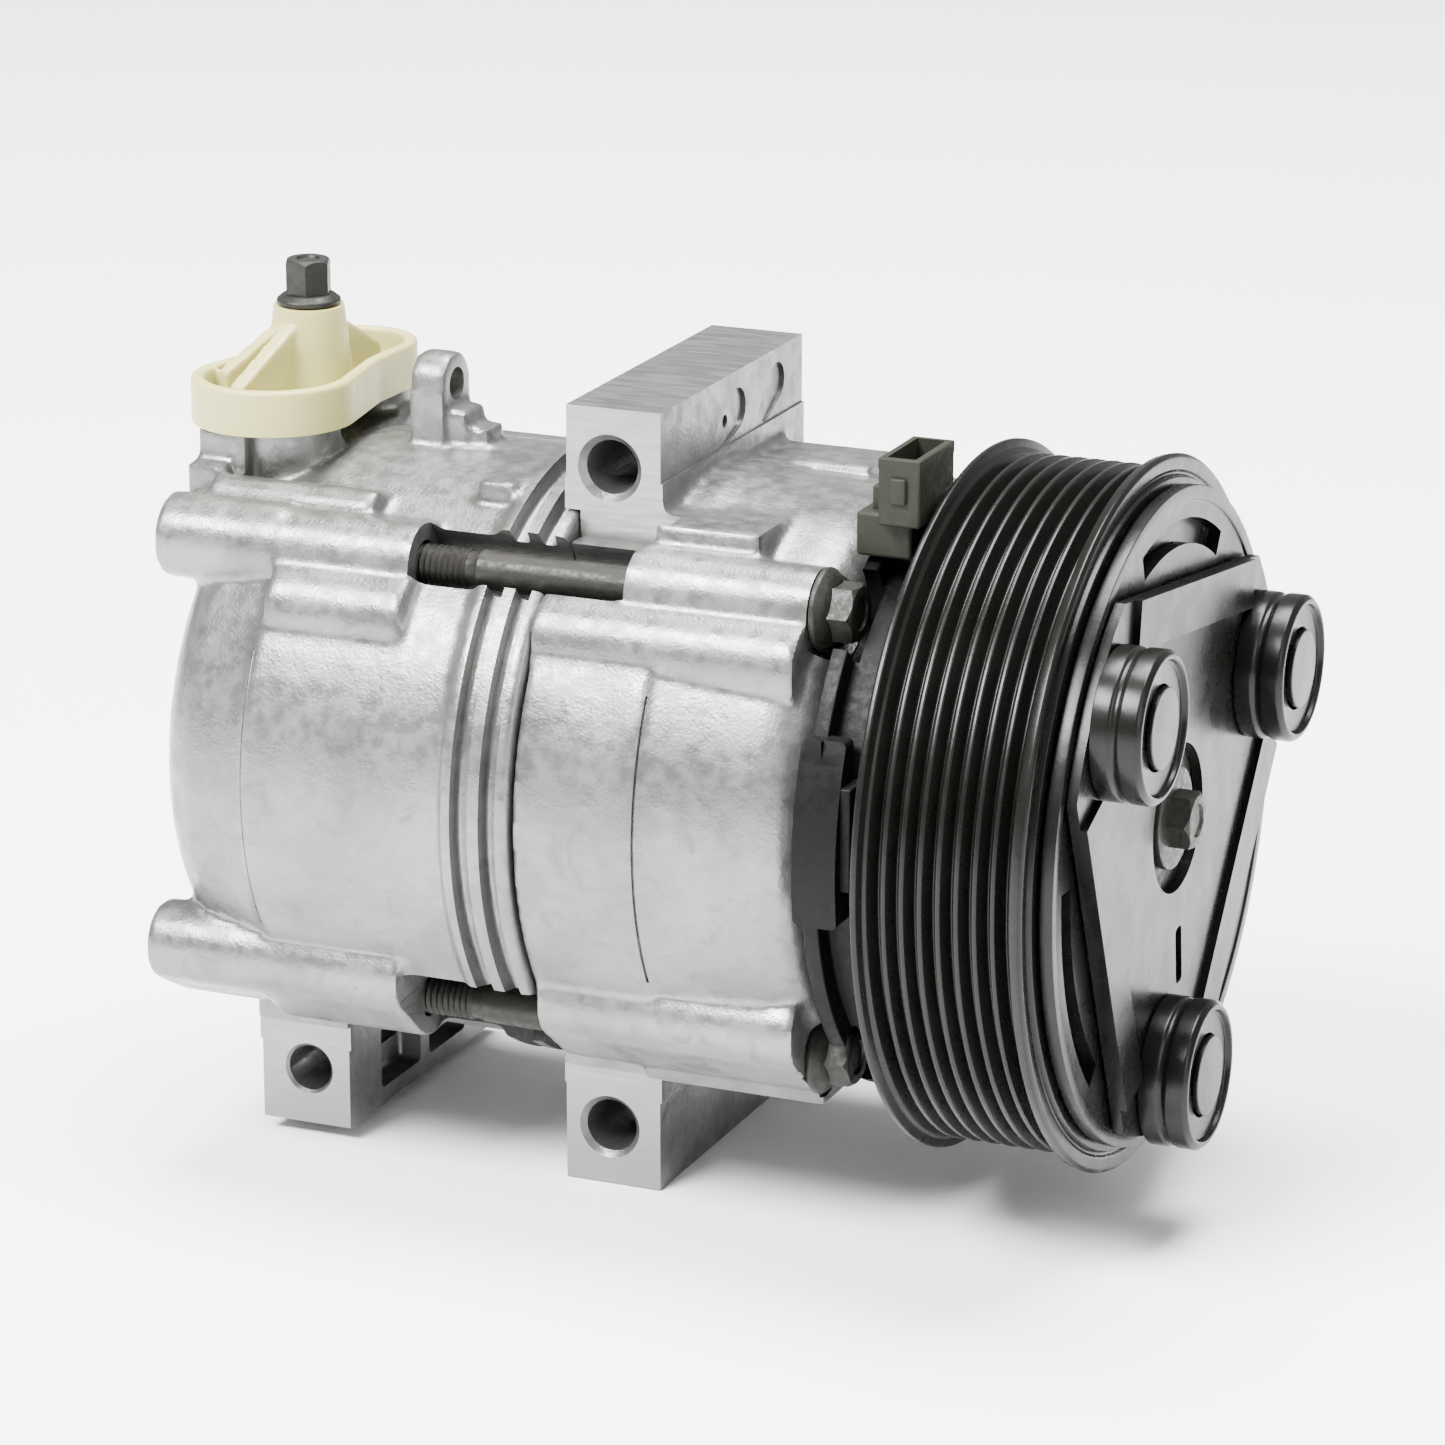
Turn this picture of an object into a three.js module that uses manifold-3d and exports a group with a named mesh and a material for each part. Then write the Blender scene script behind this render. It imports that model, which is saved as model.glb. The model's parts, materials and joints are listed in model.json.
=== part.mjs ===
// Car air-conditioning compressor: ten-cylinder swash-plate pump with a belt pulley and a magnetic clutch.
// Millimetres. The origin is the middle of the flat rear end face, on the shaft axis.
// +X runs along the shaft to the clutch, +Z is up, and +Y is the side that faces the engine.
import * as THREE from "three";
import { mergeVertices } from "three/addons/utils/BufferGeometryUtils.js";
import Module from "manifold-3d";

const wasm = await Module();
wasm.setup();

// ---- driving dimensions ----
const TOUCH = 0.3;            // gap kept between pieces that touch
const CREASE_X = 27;          // where the rear crown meets the barrel
const SEAM_X = 84.9;          // where the two housing halves meet
const FRONT_FACE_X = 143;     // front face of the front housing, where the coil sits
const BARREL_R = 59.5;
const REAR_R = 58.6;
const RIB_R = 60.6;
const GROOVE_R = 57.2;
const BORE_R = 46;            // inside of both housing halves
const BOLT_Y = 34.8;          // the four through bolts stand at plus and minus these
const BOLT_Z = 43.9;
const BOLT_R = 3.9;
const BOLT_CLEAR_R = 4.4;
const REAR_BOSS_END_X = 56;
const UPPER_BOSS_X = 101;
const LOWER_BOSS_X = 86;
const BOLT_SEAT_X = 138;
const LUG_NEAR_Y = -26.3;     // faces of the three mounting lugs
const LUG_FAR_Y = 44;
const SWASH_X = 72;           // middle of the pump
const SWASH_TILT = THREE.MathUtils.degToRad(15);
const SWASH_R = 33;
const SWASH_THICK = 5;
const PISTON_COUNT = 5;
const PISTON_R = 13.4;
const CYLINDER_R = 13.6;
const PISTON_RING_R = 30.3;   // distance of the cylinders from the shaft
const PISTON_THROW = PISTON_RING_R * Math.tan(SWASH_TILT);
const BLOCK_R = BORE_R - TOUCH;
const BLOCK_LENGTH = 44;
const SHAFT_R = 8;
const NOSE_R = 20;
const PULLEY_X = 157;
const FLANGE_R = 68.6;
const RIB_TIP_R = 66.2;
const RIB_VALLEY_R = 63.3;
const GROOVE_COUNT = 8;
const GROOVE_PITCH = 3.56;
const FIRST_GROOVE_X = 161;
const PULLEY_FRONT_X = 191.2;
const ARMATURE_X = 191.7;
const ARMATURE_THICK = 3;
const ARMATURE_R = 63.4;
const HUB_PLATE_X = 195;
const HUB_PLATE_THICK = 2;
const HUB_EDGE = 46;          // distance of the hub plate's straight edges from the shaft
const HUB_HOLE_R = 14.5;
const DAMPER_RING_R = 48.8;
const DAMPER_R = 14.5;
const DAMPER_END_X = 207;
const DAMPER_ANGLES = [22, 142, 262].map(THREE.MathUtils.degToRad);
const EDGE_ANGLES = [82, 202, 322].map(THREE.MathUtils.degToRad);
const NEAR_PORT = { x: 15, y: -10 };
const FAR_PORT = { x: 15.5, y: 26 };
const CAP_BOLT = { x: 11.8, y: 5 };
const PORT_TOP_Z = 62;
const CAP_Z = 62.4;
const CAP_TOP_Z = 82;
const ROUND = 32;             // sides of the large round pieces
const MID_ROUND = 16;         // sides of bearings, cups and bores
const SMALL_ROUND = 12;       // sides of bolts and small holes

// ---- solids ----
// Welds a geometry into one closed solid with its faces pointing out.
function solid(geometry) {
  geometry.deleteAttribute("normal");
  geometry.deleteAttribute("uv");
  const welded = mergeVertices(geometry, 1e-4);
  const position = welded.attributes.position;
  const corners = [];
  let volume = 0;
  const [a, b, c] = [new THREE.Vector3(), new THREE.Vector3(), new THREE.Vector3()];
  for (let i = 0; i < welded.index.count; i += 3) {
    const triangle = [0, 1, 2].map((k) => welded.index.getX(i + k));
    if (new Set(triangle).size < 3) continue;
    [a, b, c].forEach((corner, k) => corner.fromBufferAttribute(position, triangle[k]));
    volume += a.dot(b.cross(c));
    corners.push(triangle);
  }
  const turned = volume < 0 ? corners.map((t) => [t[0], t[2], t[1]]) : corners;
  return new wasm.Manifold(new wasm.Mesh({
    numProp: 3,
    vertProperties: Float32Array.from(position.array),
    triVerts: Uint32Array.from(turned.flat()),
  }));
}

function box(x0, x1, y0, y1, z0, z1) {
  const geometry = new THREE.BoxGeometry(x1 - x0, y1 - y0, z1 - z0);
  geometry.translate((x0 + x1) / 2, (y0 + y1) / 2, (z0 + z1) / 2);
  return solid(geometry);
}

// A body turned about the shaft axis from [x, radius] points.
function turned(points, segments = ROUND) {
  const profile = points.map(([x, r]) => new THREE.Vector2(Math.max(r, 0), x));
  const geometry = new THREE.LatheGeometry(profile, segments);
  geometry.rotateZ(-Math.PI / 2);
  return solid(geometry);
}

function ring(inner, outer, x0, x1, segments = ROUND) {
  return turned([[x0, inner], [x0, outer], [x1, outer], [x1, inner], [x0, inner]], segments);
}

function rod(radius, x0, x1, y = 0, z = 0, segments = SMALL_ROUND) {
  const geometry = new THREE.CylinderGeometry(radius, radius, x1 - x0, segments);
  geometry.rotateZ(-Math.PI / 2);
  geometry.translate((x0 + x1) / 2, y, z);
  return solid(geometry);
}

function rodY(radius, y0, y1, x, z, segments = SMALL_ROUND, endRadius = radius) {
  const geometry = new THREE.CylinderGeometry(endRadius, radius, y1 - y0, segments);
  geometry.translate(x, (y0 + y1) / 2, z);
  return solid(geometry);
}

function rodZ(radius, z0, z1, x, y, segments = SMALL_ROUND, topRadius = radius) {
  const geometry = new THREE.CylinderGeometry(topRadius, radius, z1 - z0, segments);
  geometry.rotateX(Math.PI / 2);
  geometry.translate(x, y, (z0 + z1) / 2);
  return solid(geometry);
}

// An outline in the YZ plane carried along X.
function slabX(shape, x0, x1, curveSegments = 8) {
  const geometry = new THREE.ExtrudeGeometry(shape, { depth: x1 - x0, bevelEnabled: false, curveSegments });
  geometry.rotateY(Math.PI / 2);
  geometry.rotateX(Math.PI / 2);
  geometry.translate(x0, 0, 0);
  return solid(geometry);
}

// An outline in the XY plane carried up along Z.
function slabZ(shape, z0, z1, curveSegments = 8) {
  const geometry = new THREE.ExtrudeGeometry(shape, { depth: z1 - z0, bevelEnabled: false, curveSegments });
  geometry.translate(0, 0, z0);
  return solid(geometry);
}

function join(...solids) {
  return solids.reduce((whole, next) => whole.add(next));
}

function cut(base, ...tools) {
  return tools.reduce((whole, tool) => whole.subtract(tool), base);
}

function polar(radius, angle) {
  return { y: radius * Math.cos(angle), z: radius * Math.sin(angle) };
}

const fourBolts = [
  { name: "upper_near", y: -BOLT_Y, z: BOLT_Z },
  { name: "upper_far", y: BOLT_Y, z: BOLT_Z },
  { name: "lower_near", y: -BOLT_Y, z: -BOLT_Z },
  { name: "lower_far", y: BOLT_Y, z: -BOLT_Z },
];

// ---- scene ----
const group = new THREE.Group();
function look(color, roughness, metalness) {
  return new THREE.MeshStandardMaterial({ color, roughness, metalness });
}
const castAluminium = look(0xc9cac4, 0.5, 0.85);
const machinedAluminium = look(0xd4d5d0, 0.35, 0.9);
const blackSteel = look(0x56534c, 0.5, 0.6);
const glossBlack = look(0x101010, 0.25, 0.3);
const coilBlack = look(0x1b1b1a, 0.6, 0.2);
const oliveGrey = look(0x6e7064, 0.6, 0.0);
const nylon = look(0xdbd8c5, 0.55, 0.0);
const steel = look(0x8d8f90, 0.35, 0.9);
const rubber = look(0x141414, 0.85, 0.0);
const seal = look(0x2a2a28, 0.8, 0.0);

function add(name, body, material) {
  const mesh = body.getMesh();
  const geometry = new THREE.BufferGeometry();
  const vertices = new Float32Array(mesh.numVert * 3);
  for (let i = 0; i < mesh.numVert; i += 1) {
    for (let k = 0; k < 3; k += 1) vertices[3 * i + k] = mesh.vertProperties[mesh.numProp * i + k];
  }
  geometry.setAttribute("position", new THREE.BufferAttribute(vertices, 3));
  geometry.setIndex(Array.from(mesh.triVerts));
  geometry.computeVertexNormals();
  const node = new THREE.Mesh(geometry, material);
  node.name = name;
  group.add(node);
}

// ---- housings ----
function mountingBore(x, z, radius, chamfer) {
  const reach = 2;
  const through = rodY(radius, LUG_NEAR_Y - reach, LUG_FAR_Y + reach, x, z, MID_ROUND);
  const mouth = rodY(radius + chamfer, LUG_NEAR_Y - 0.01, LUG_NEAR_Y + chamfer, x, z, MID_ROUND, radius);
  return through.add(mouth);
}

// The slot along the barrel that leaves a through bolt bare between the bosses.
function boltChannel(bolt, x0, x1) {
  const outward = 1.13;
  const radius = 6.6;
  const slot = join(
    rod(radius, x0, x1, bolt.y, bolt.z),
    rod(radius, x0, x1, bolt.y * outward, bolt.z * outward),
  );
  return bolt.z > 0 ? slot : join(slot, rod(8, x0, x1, bolt.y * 1.5, bolt.z * 0.98));
}

// A lower boss: its outer side swells out past the barrel, above the bolt.
function lowerBoss(bolt, radius, x0, x1) {
  const core = rod(radius, x0, x1, bolt.y, bolt.z).translate([0, -0.04 * bolt.y, 1.6]);
  const swell = rod(8, x0, x1, bolt.y * 1.24, bolt.z * 0.84);
  return wasm.Manifold.hull([core, swell]);
}

function portPads() {
  const rest = 44;
  return join(
    box(1.6, 12, -24, -4, rest, PORT_TOP_Z - 0.6),
    rodZ(9.6, rest, PORT_TOP_Z, NEAR_PORT.x, NEAR_PORT.y, MID_ROUND),
    rodZ(8.4, rest - 8, PORT_TOP_Z, FAR_PORT.x, FAR_PORT.y, MID_ROUND),
    rodZ(6.5, rest, PORT_TOP_Z, CAP_BOLT.x, CAP_BOLT.y),
    box(5, 25, -8, 30, rest - 4, 57),
  );
}

function ear() {
  const eyeZ = 70;
  const eye = rod(6.3, 38.8, 46, 1, eyeZ, MID_ROUND);
  const stem = box(38.8, 46, -5.3, 7.3, 52, eyeZ);
  const gusset = join(box(45.5, 50, -3.6, 5.6, 52, 65.4), box(49, 54.5, -2.6, 4.6, 52, 62));
  return cut(join(eye, stem, gusset), rod(3.3, 38, 56, 1, eyeZ, MID_ROUND));
}

function rearHousing() {
  const shell = turned([
    [0, 0], [0, 33.5], [6.2, 48], [8.8, 51.4], [13.4, 54], [CREASE_X, 57.5], [CREASE_X, REAR_R],
    [70.3, REAR_R], [70.3, RIB_R], [73, RIB_R], [73, GROOVE_R], [76.4, GROOVE_R], [76.4, RIB_R],
    [78.9, RIB_R], [78.9, GROOVE_R], [82.1, GROOVE_R], [82.1, RIB_R],
    [SEAM_X - TOUCH, RIB_R], [SEAM_X - TOUCH, 0],
  ]);
  const bosses = fourBolts.flatMap((bolt) => (
    bolt.z > 0
      ? [rod(8.4, 1.4, CREASE_X, bolt.y, bolt.z), rod(7.7, CREASE_X - 2, REAR_BOSS_END_X, bolt.y, bolt.z)]
      : [lowerBoss(bolt, 8, 1.4, CREASE_X), lowerBoss(bolt, 10.2, CREASE_X - 2, REAR_BOSS_END_X)]
  ));
  const lug = box(14, 33.3, LUG_NEAR_Y, LUG_FAR_Y, -78.5, -50);
  const rail = rod(4.6, 8, 44, -28.5, 50.5);
  const channels = fourBolts.map((bolt) => boltChannel(bolt, REAR_BOSS_END_X, SEAM_X));
  const threads = fourBolts.map(({ y, z }) => rod(BOLT_CLEAR_R, 12, 90, y, z));
  const chamberX = 11;
  const boreX = 24.5;
  const portTube = rodZ(7.5, 0, 50, FAR_PORT.x, FAR_PORT.y);
  const suction = cut(ring(31, 43, chamberX, boreX + 1), portTube);
  const discharge = rod(27, chamberX, boreX + 1, 0, 0, MID_ROUND);
  const bore = rod(BORE_R, boreX, SEAM_X + 1, 0, 0, ROUND);
  const sealSeat = rod(48.6, SEAM_X - 1.4, SEAM_X + 1, 0, 0, ROUND);
  const lugPockets = [
    box(28, 34, -10, 8, -74.5, -60),
    box(28, 34, 12, 28, -74.5, -60),
    box(13, 19, -10, 8, -74.5, -60),
    box(13, 19, 12, 28, -74.5, -60),
  ];
  return cut(
    join(shell, ...bosses, lug, rail, portPads(), ear()),
    ...channels, ...threads, suction, discharge, bore, sealSeat, ...lugPockets,
    rodZ(6, 36, PORT_TOP_Z + 1, NEAR_PORT.x, NEAR_PORT.y, MID_ROUND),
    rodZ(4.6, 4, PORT_TOP_Z + 1, FAR_PORT.x, FAR_PORT.y, MID_ROUND),
    rodZ(3.4, 46, PORT_TOP_Z + 1, CAP_BOLT.x, CAP_BOLT.y),
    mountingBore(24.3, -67, 4.7, 0.6),
  );
}

function lowerBossSkirt(side) {
  const y = side * BOLT_Y;
  const yIn = side * 20;
  const wide = [Math.min(y, yIn), Math.max(y, yIn)];
  return box(UPPER_BOSS_X, BOLT_SEAT_X, ...wide, -55, -44);
}

function frontHousing() {
  const start = SEAM_X;
  const shell = turned([
    [start, 0], [start, BARREL_R], [110, BARREL_R], [110, 58.7], [133.5, 57.4], [137.5, 56.2],
    [140.5, 53.8], [142.4, 50.4], [FRONT_FACE_X, 47], [FRONT_FACE_X, 21.5], [152, 21.5],
    [152, NOSE_R], [187.4, NOSE_R], [188, NOSE_R - 0.6], [188, 0],
  ]);
  const bosses = fourBolts.map((bolt) => (
    bolt.z > 0
      ? rod(8, UPPER_BOSS_X, BOLT_SEAT_X, bolt.y, bolt.z)
      : lowerBoss(bolt, 9.6, LOWER_BOSS_X, BOLT_SEAT_X)
  ));
  const underSeat = rod(61.2, 80, start, 0, 0, ROUND);
  const topLug = cut(
    box(82, 101.5, LUG_NEAR_Y, LUG_FAR_Y, 50, 75.7),
    underSeat,
    box(98.5, 103, 0, 16, 60, 71),
    box(98.5, 103, 21, 36, 60, 71),
  );
  const lowLug = cut(box(81, 101, LUG_NEAR_Y, LUG_FAR_Y, -81.2, -50), underSeat);
  const pad = box(103, 124.5, -33, -15, 48, 56);
  const channels = fourBolts.map((bolt) => {
    const end = bolt.z > 0 ? UPPER_BOSS_X : LOWER_BOSS_X;
    return boltChannel(bolt, start - 1, end);
  });
  const holes = fourBolts.map(({ y, z }) => rod(BOLT_CLEAR_R, 80, BOLT_SEAT_X + 1, y, z));
  const seats = fourBolts.map(({ y, z }) => rod(9.4, BOLT_SEAT_X, FRONT_FACE_X + 9, y, z));
  const boreEnd = 119.9;
  const chamberEnd = 133;
  return cut(
    join(shell, ...bosses, topLug, lowLug, pad, lowerBossSkirt(-1), lowerBossSkirt(1)),
    ...channels, ...holes, ...seats,
    rod(BORE_R, start - 1, boreEnd, 0, 0, ROUND),
    rod(48.6, start - 1, start + 1.2, 0, 0, ROUND),
    ring(31, 43, boreEnd - 1, chamberEnd),
    ring(17, 27, boreEnd - 1, chamberEnd),
    rod(13, boreEnd - 1, 150, 0, 0, MID_ROUND),
    rod(15, 149, 189, 0, 0, MID_ROUND),
    mountingBore(91, 64, 5.3, 1.3),
    mountingBore(90.2, -69.5, 5.3, 1.1),
    box(141.9, 152, -62, -49.6, -10.4, 25.4),
  );
}

function throughBolt({ y, z }) {
  const seat = BOLT_SEAT_X + TOUCH;
  const flange = rod(8, seat, seat + 2.2, y, z, MID_ROUND);
  const cone = rod(6.6, seat + 2, seat + 3, y, z, MID_ROUND);
  const hex = rod(5.9, seat + 2.8, seat + 7.6, y, z, 6);
  const shank = rod(BOLT_R, 14, seat + 1, y, z);
  return join(shank, flange, cone, hex);
}

add("rear_housing", rearHousing(), castAluminium);
add("front_housing", frontHousing(), castAluminium);
add("housing_o_ring", ring(46.6, 48.2, SEAM_X - 1.1, SEAM_X + 0.9, MID_ROUND), seal);
for (const bolt of fourBolts) {
  add(`through_bolt_${bolt.name}`, throughBolt(bolt), blackSteel);
}

// ---- pump ----
const pistonAngle = (index) => Math.PI / 2 + (index * 2 * Math.PI) / PISTON_COUNT;

// A row of equal holes along X, one for each cylinder.
function holesAtCylinders(radius, ringRadius, x0, x1, segments) {
  return Array.from({ length: PISTON_COUNT }, (unused, index) => {
    const { y, z } = polar(ringRadius, pistonAngle(index));
    return rod(radius, x0, x1, y, z, segments);
  });
}

function cylinderBlock(side) {
  const inner = SWASH_X + side * TOUCH / 2;
  const outer = SWASH_X + side * BLOCK_LENGTH;
  const at = (near, far) => [Math.min(near, far), Math.max(near, far)];
  const reach = SWASH_X - side;
  return cut(
    rod(BLOCK_R, ...at(inner, outer), 0, 0, ROUND),
    ...holesAtCylinders(CYLINDER_R, PISTON_RING_R, ...at(reach, outer + side), MID_ROUND),
    rod(34.5, ...at(reach, SWASH_X + side * 13), 0, 0, MID_ROUND),
    rod(15.6, ...at(reach, SWASH_X + side * 17.4), 0, 0, MID_ROUND),
    rod(12.8, ...at(reach, outer + side), 0, 0, MID_ROUND),
  );
}

function valvePlate(x0) {
  const thick = 2;
  return cut(
    rod(BLOCK_R, x0, x0 + thick, 0, 0, ROUND),
    rod(9, x0 - 1, x0 + thick + 1),
    ...holesAtCylinders(2.6, 22, x0 - 1, x0 + thick + 1, 8),
    ...holesAtCylinders(3.2, 36, x0 - 1, x0 + thick + 1, 8),
  );
}

function piston(index) {
  const angle = pistonAngle(index);
  const swashReach = SWASH_R * Math.sin(SWASH_TILT) + (SWASH_THICK / 2) * Math.cos(SWASH_TILT);
  const notch = swashReach + PISTON_THROW + 0.5;
  const half = BLOCK_LENGTH - PISTON_THROW - 0.6;
  const x = SWASH_X + PISTON_THROW * Math.sin(angle);
  const body = new THREE.CylinderGeometry(PISTON_R, PISTON_R, 2 * half, MID_ROUND);
  body.rotateZ(-Math.PI / 2);
  const keep = SWASH_R + 0.5 - PISTON_RING_R;
  const gap = new THREE.BoxGeometry(2 * notch, 40, 40);
  gap.translate(0, 0, keep - 20);
  gap.rotateX(angle - Math.PI / 2);
  const { y, z } = polar(PISTON_RING_R, angle);
  return cut(solid(body), solid(gap)).translate([x, y, z]);
}

function swashPlate() {
  const disc = new THREE.CylinderGeometry(SWASH_R, SWASH_R, SWASH_THICK, ROUND);
  disc.rotateZ(-Math.PI / 2);
  disc.rotateY(SWASH_TILT);
  disc.translate(SWASH_X, 0, 0);
  const hub = rod(14.2, SWASH_X - 12.7, SWASH_X + 12.7, 0, 0, MID_ROUND);
  return cut(join(solid(disc), hub), rod(SHAFT_R + TOUCH, 40, 100, 0, 0, MID_ROUND));
}

function shaft() {
  const body = turned([
    [29, 0], [29, 7.2], [29.8, SHAFT_R], [176, SHAFT_R], [176.6, 7], [192.4, 7], [193, 6.4], [193, 0],
  ], MID_ROUND);
  return cut(body, rod(3.4, 180, 195, 0, 0));
}

add("rear_cylinder_block", cylinderBlock(-1), machinedAluminium);
add("front_cylinder_block", cylinderBlock(1), machinedAluminium);
add("rear_valve_plate", valvePlate(SWASH_X - BLOCK_LENGTH - TOUCH - 2), steel);
add("front_valve_plate", valvePlate(SWASH_X + BLOCK_LENGTH + TOUCH), steel);
add("rear_head_gasket", ring(43.6, BLOCK_R, 24.8, 25.4, MID_ROUND), seal);
add("front_head_gasket", ring(43.6, BLOCK_R, 118.7, 119.5, MID_ROUND), seal);
for (let index = 0; index < PISTON_COUNT; index += 1) {
  add(`piston_${index + 1}`, piston(index), machinedAluminium);
}
add("swash_plate", swashPlate(), steel);
add("drive_shaft", shaft(), steel);
for (const [name, side] of [["rear", -1], ["front", 1]]) {
  const thrust = [SWASH_X + side * 13, SWASH_X + side * 17].sort((a, b) => a - b);
  const needle = [SWASH_X + side * 22, SWASH_X + side * 38].sort((a, b) => a - b);
  add(`${name}_thrust_bearing`, ring(8.5, 15.2, ...thrust, MID_ROUND), steel);
  add(`${name}_needle_bearing`, ring(SHAFT_R + TOUCH, 12.5, ...needle, MID_ROUND), steel);
}
add("shaft_seal", ring(SHAFT_R + TOUCH, 14.6, 153, 168, MID_ROUND), seal);
add("seal_snap_ring", ring(11.5, 14.6, 168.6, 170, MID_ROUND), steel);

// ---- clutch coil and bearing ----
function clutchCoil() {
  const back = FRONT_FACE_X + TOUCH;
  const plate = 3.2;
  const can = turned([
    [back, 22], [back, 58], [back + plate, 58], [back + plate, 53.4], [172, 53.4], [172, 36.6],
    [back + plate, 36.6], [back + plate, 22], [back, 22],
  ]);
  const leadBlock = join(
    box(142.3, 151, -60, -50, -10, 25),
    box(back, back + plate, -56, -40, -10, 25),
  );
  const scallops = fourBolts.map(({ y, z }) => rod(9.4, back - 1, back + plate + 1, y, z));
  return cut(join(can, leadBlock), ...scallops);
}

function coilConnector() {
  const shell = box(147.4, 155.8, -31, -13, 60, 73);
  const stem = box(141.9, 153, -28, -15, 53, 61);
  const socket = box(148.8, 154.4, -29.6, -14.4, 62.4, 74);
  const latch = box(150, 153.2, -32, -30.5, 65, 69);
  return cut(join(shell, stem, latch), socket, rod(58.5, 140, 156, 0, 0, ROUND));
}

function ballCage() {
  const cage = ring(24.6, 26.2, 163, 181, MID_ROUND);
  const balls = [];
  const count = 12;
  for (let i = 0; i < count; i += 1) {
    const { y, z } = polar(25.4, (i * 2 * Math.PI) / count);
    const ball = new THREE.SphereGeometry(2.1, 6, 3);
    ball.translate(172, y, z);
    balls.push(solid(ball));
  }
  return join(cage, ...balls);
}

add("clutch_coil", clutchCoil(), coilBlack);
add("coil_connector", coilConnector(), oliveGrey);
add("coil_snap_ring", ring(21.9, 25, 149, 150.3), steel);
add("bearing_inner_race", ring(NOSE_R + TOUCH, 23, 160, 184), steel);
add("bearing_outer_race", ring(27.8, 31, 160, 184), steel);
add("bearing_ball_cage", ballCage(), steel);
add("bearing_snap_ring", ring(NOSE_R + TOUCH, 23.4, 184.6, 186), steel);

// ---- pulley and clutch ----
function pulley() {
  const profile = [
    [158, 31.3], [158, 34.8], [175.5, 34.8], [175.5, 54.2], [PULLEY_X, 54.2], [PULLEY_X, 67.8],
    [PULLEY_X + 0.4, FLANGE_R], [PULLEY_X + 1.4, FLANGE_R], [PULLEY_X + 2, RIB_TIP_R],
  ];
  for (let i = 0; i < GROOVE_COUNT; i += 1) {
    const x = FIRST_GROOVE_X + i * GROOVE_PITCH;
    profile.push([x - 1.3, RIB_TIP_R], [x, RIB_VALLEY_R], [x + 1.3, RIB_TIP_R]);
  }
  profile.push(
    [187.9, RIB_TIP_R], [188.3, FLANGE_R + 0.2], [190, FLANGE_R + 0.4], [190.6, FLANGE_R - 0.4], [190.6, 66],
    [PULLEY_FRONT_X, 65.4], [PULLEY_FRONT_X, 36], [190.5, 34.8], [190.5, 31.3], [158, 31.3],
  );
  return turned(profile);
}

// A slot bent around the shaft axis, cut through the plate from x0 to x1.
function arcSlot(middle, halfAngle, inner, outer, x0, x1) {
  const shape = new THREE.Shape();
  shape.absarc(0, 0, outer, middle - halfAngle, middle + halfAngle, false);
  shape.absarc(0, 0, inner, middle + halfAngle, middle - halfAngle, true);
  return slabX(shape, x0, x1, 8);
}

function armature() {
  const front = ARMATURE_X + ARMATURE_THICK;
  const plate = ring(30, ARMATURE_R, ARMATURE_X, front);
  const slots = EDGE_ANGLES.map((angle) => arcSlot(angle, 0.42, 52.5, 57, ARMATURE_X - 1, front + 1));
  const rivetHoles = DAMPER_ANGLES.map((angle) => {
    const { y, z } = polar(DAMPER_RING_R, angle);
    return rod(4.6, ARMATURE_X - 1, front + 1, y, z);
  });
  return cut(plate, ...slots, ...rivetHoles);
}

// A long bar whose inner side stands at the given distance from the shaft.
function edgeBar(angle, inner, outer, halfLength, x0, x1) {
  const geometry = new THREE.BoxGeometry(x1 - x0, outer - inner, 2 * halfLength);
  geometry.translate((x0 + x1) / 2, (inner + outer) / 2, 0);
  geometry.rotateX(angle);
  return solid(geometry);
}

function hubPlate() {
  const front = HUB_PLATE_X + HUB_PLATE_THICK;
  const bandTop = front + 2;
  const bandIn = 37.5;
  const outline = rod(63.4, HUB_PLATE_X, bandTop, 0, 0, ROUND);
  const trims = EDGE_ANGLES.map((angle) => edgeBar(angle, HUB_EDGE, 90, 90, HUB_PLATE_X - 1, bandTop + 1));
  const trimmed = cut(outline, ...trims);
  const web = rod(80, front, bandTop + 1, 0, 0, MID_ROUND);
  const bands = EDGE_ANGLES.map((angle) => edgeBar(angle, bandIn, 60, 38, HUB_PLATE_X, bandTop + 2));
  const recess = cut(web, ...bands);
  const seats = DAMPER_ANGLES.flatMap((angle) => {
    const { y, z } = polar(DAMPER_RING_R, angle);
    return [
      rod(DAMPER_R + 0.5, front, bandTop + 1, y, z, MID_ROUND),
      rod(5.4, HUB_PLATE_X - 1, front + 1, y, z),
    ];
  });
  return cut(trimmed, recess, ...seats, rod(HUB_HOLE_R, HUB_PLATE_X - 1, bandTop + 1, 0, 0, MID_ROUND));
}

function damperCup({ y, z }) {
  const start = HUB_PLATE_X + HUB_PLATE_THICK + TOUCH;
  const wall = 1.4;
  const floorX = DAMPER_END_X - 2.4;
  const cup = [
    [start, DAMPER_R - wall], [start, DAMPER_R], [DAMPER_END_X - 0.6, DAMPER_R],
    [DAMPER_END_X, DAMPER_R - 0.6], [DAMPER_END_X, DAMPER_R - wall], [floorX + 1.3, DAMPER_R - wall - 0.3],
    [floorX + 1.3, 8.3], [floorX, 8.3], [floorX, DAMPER_R - wall], [start, DAMPER_R - wall],
  ];
  return turned(cup, MID_ROUND).translate([0, y, z]);
}

function rivet({ y, z }) {
  const headX = DAMPER_END_X - 2;
  const body = [
    [ARMATURE_X + TOUCH, 0], [ARMATURE_X + TOUCH, 4.2], [headX, 4.2], [headX, 7.7],
    [headX + 1.7, 7.7], [headX + 2.2, 7.1], [headX + 2.2, 0],
  ];
  return turned(body, SMALL_ROUND).translate([0, y, z]);
}

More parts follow.
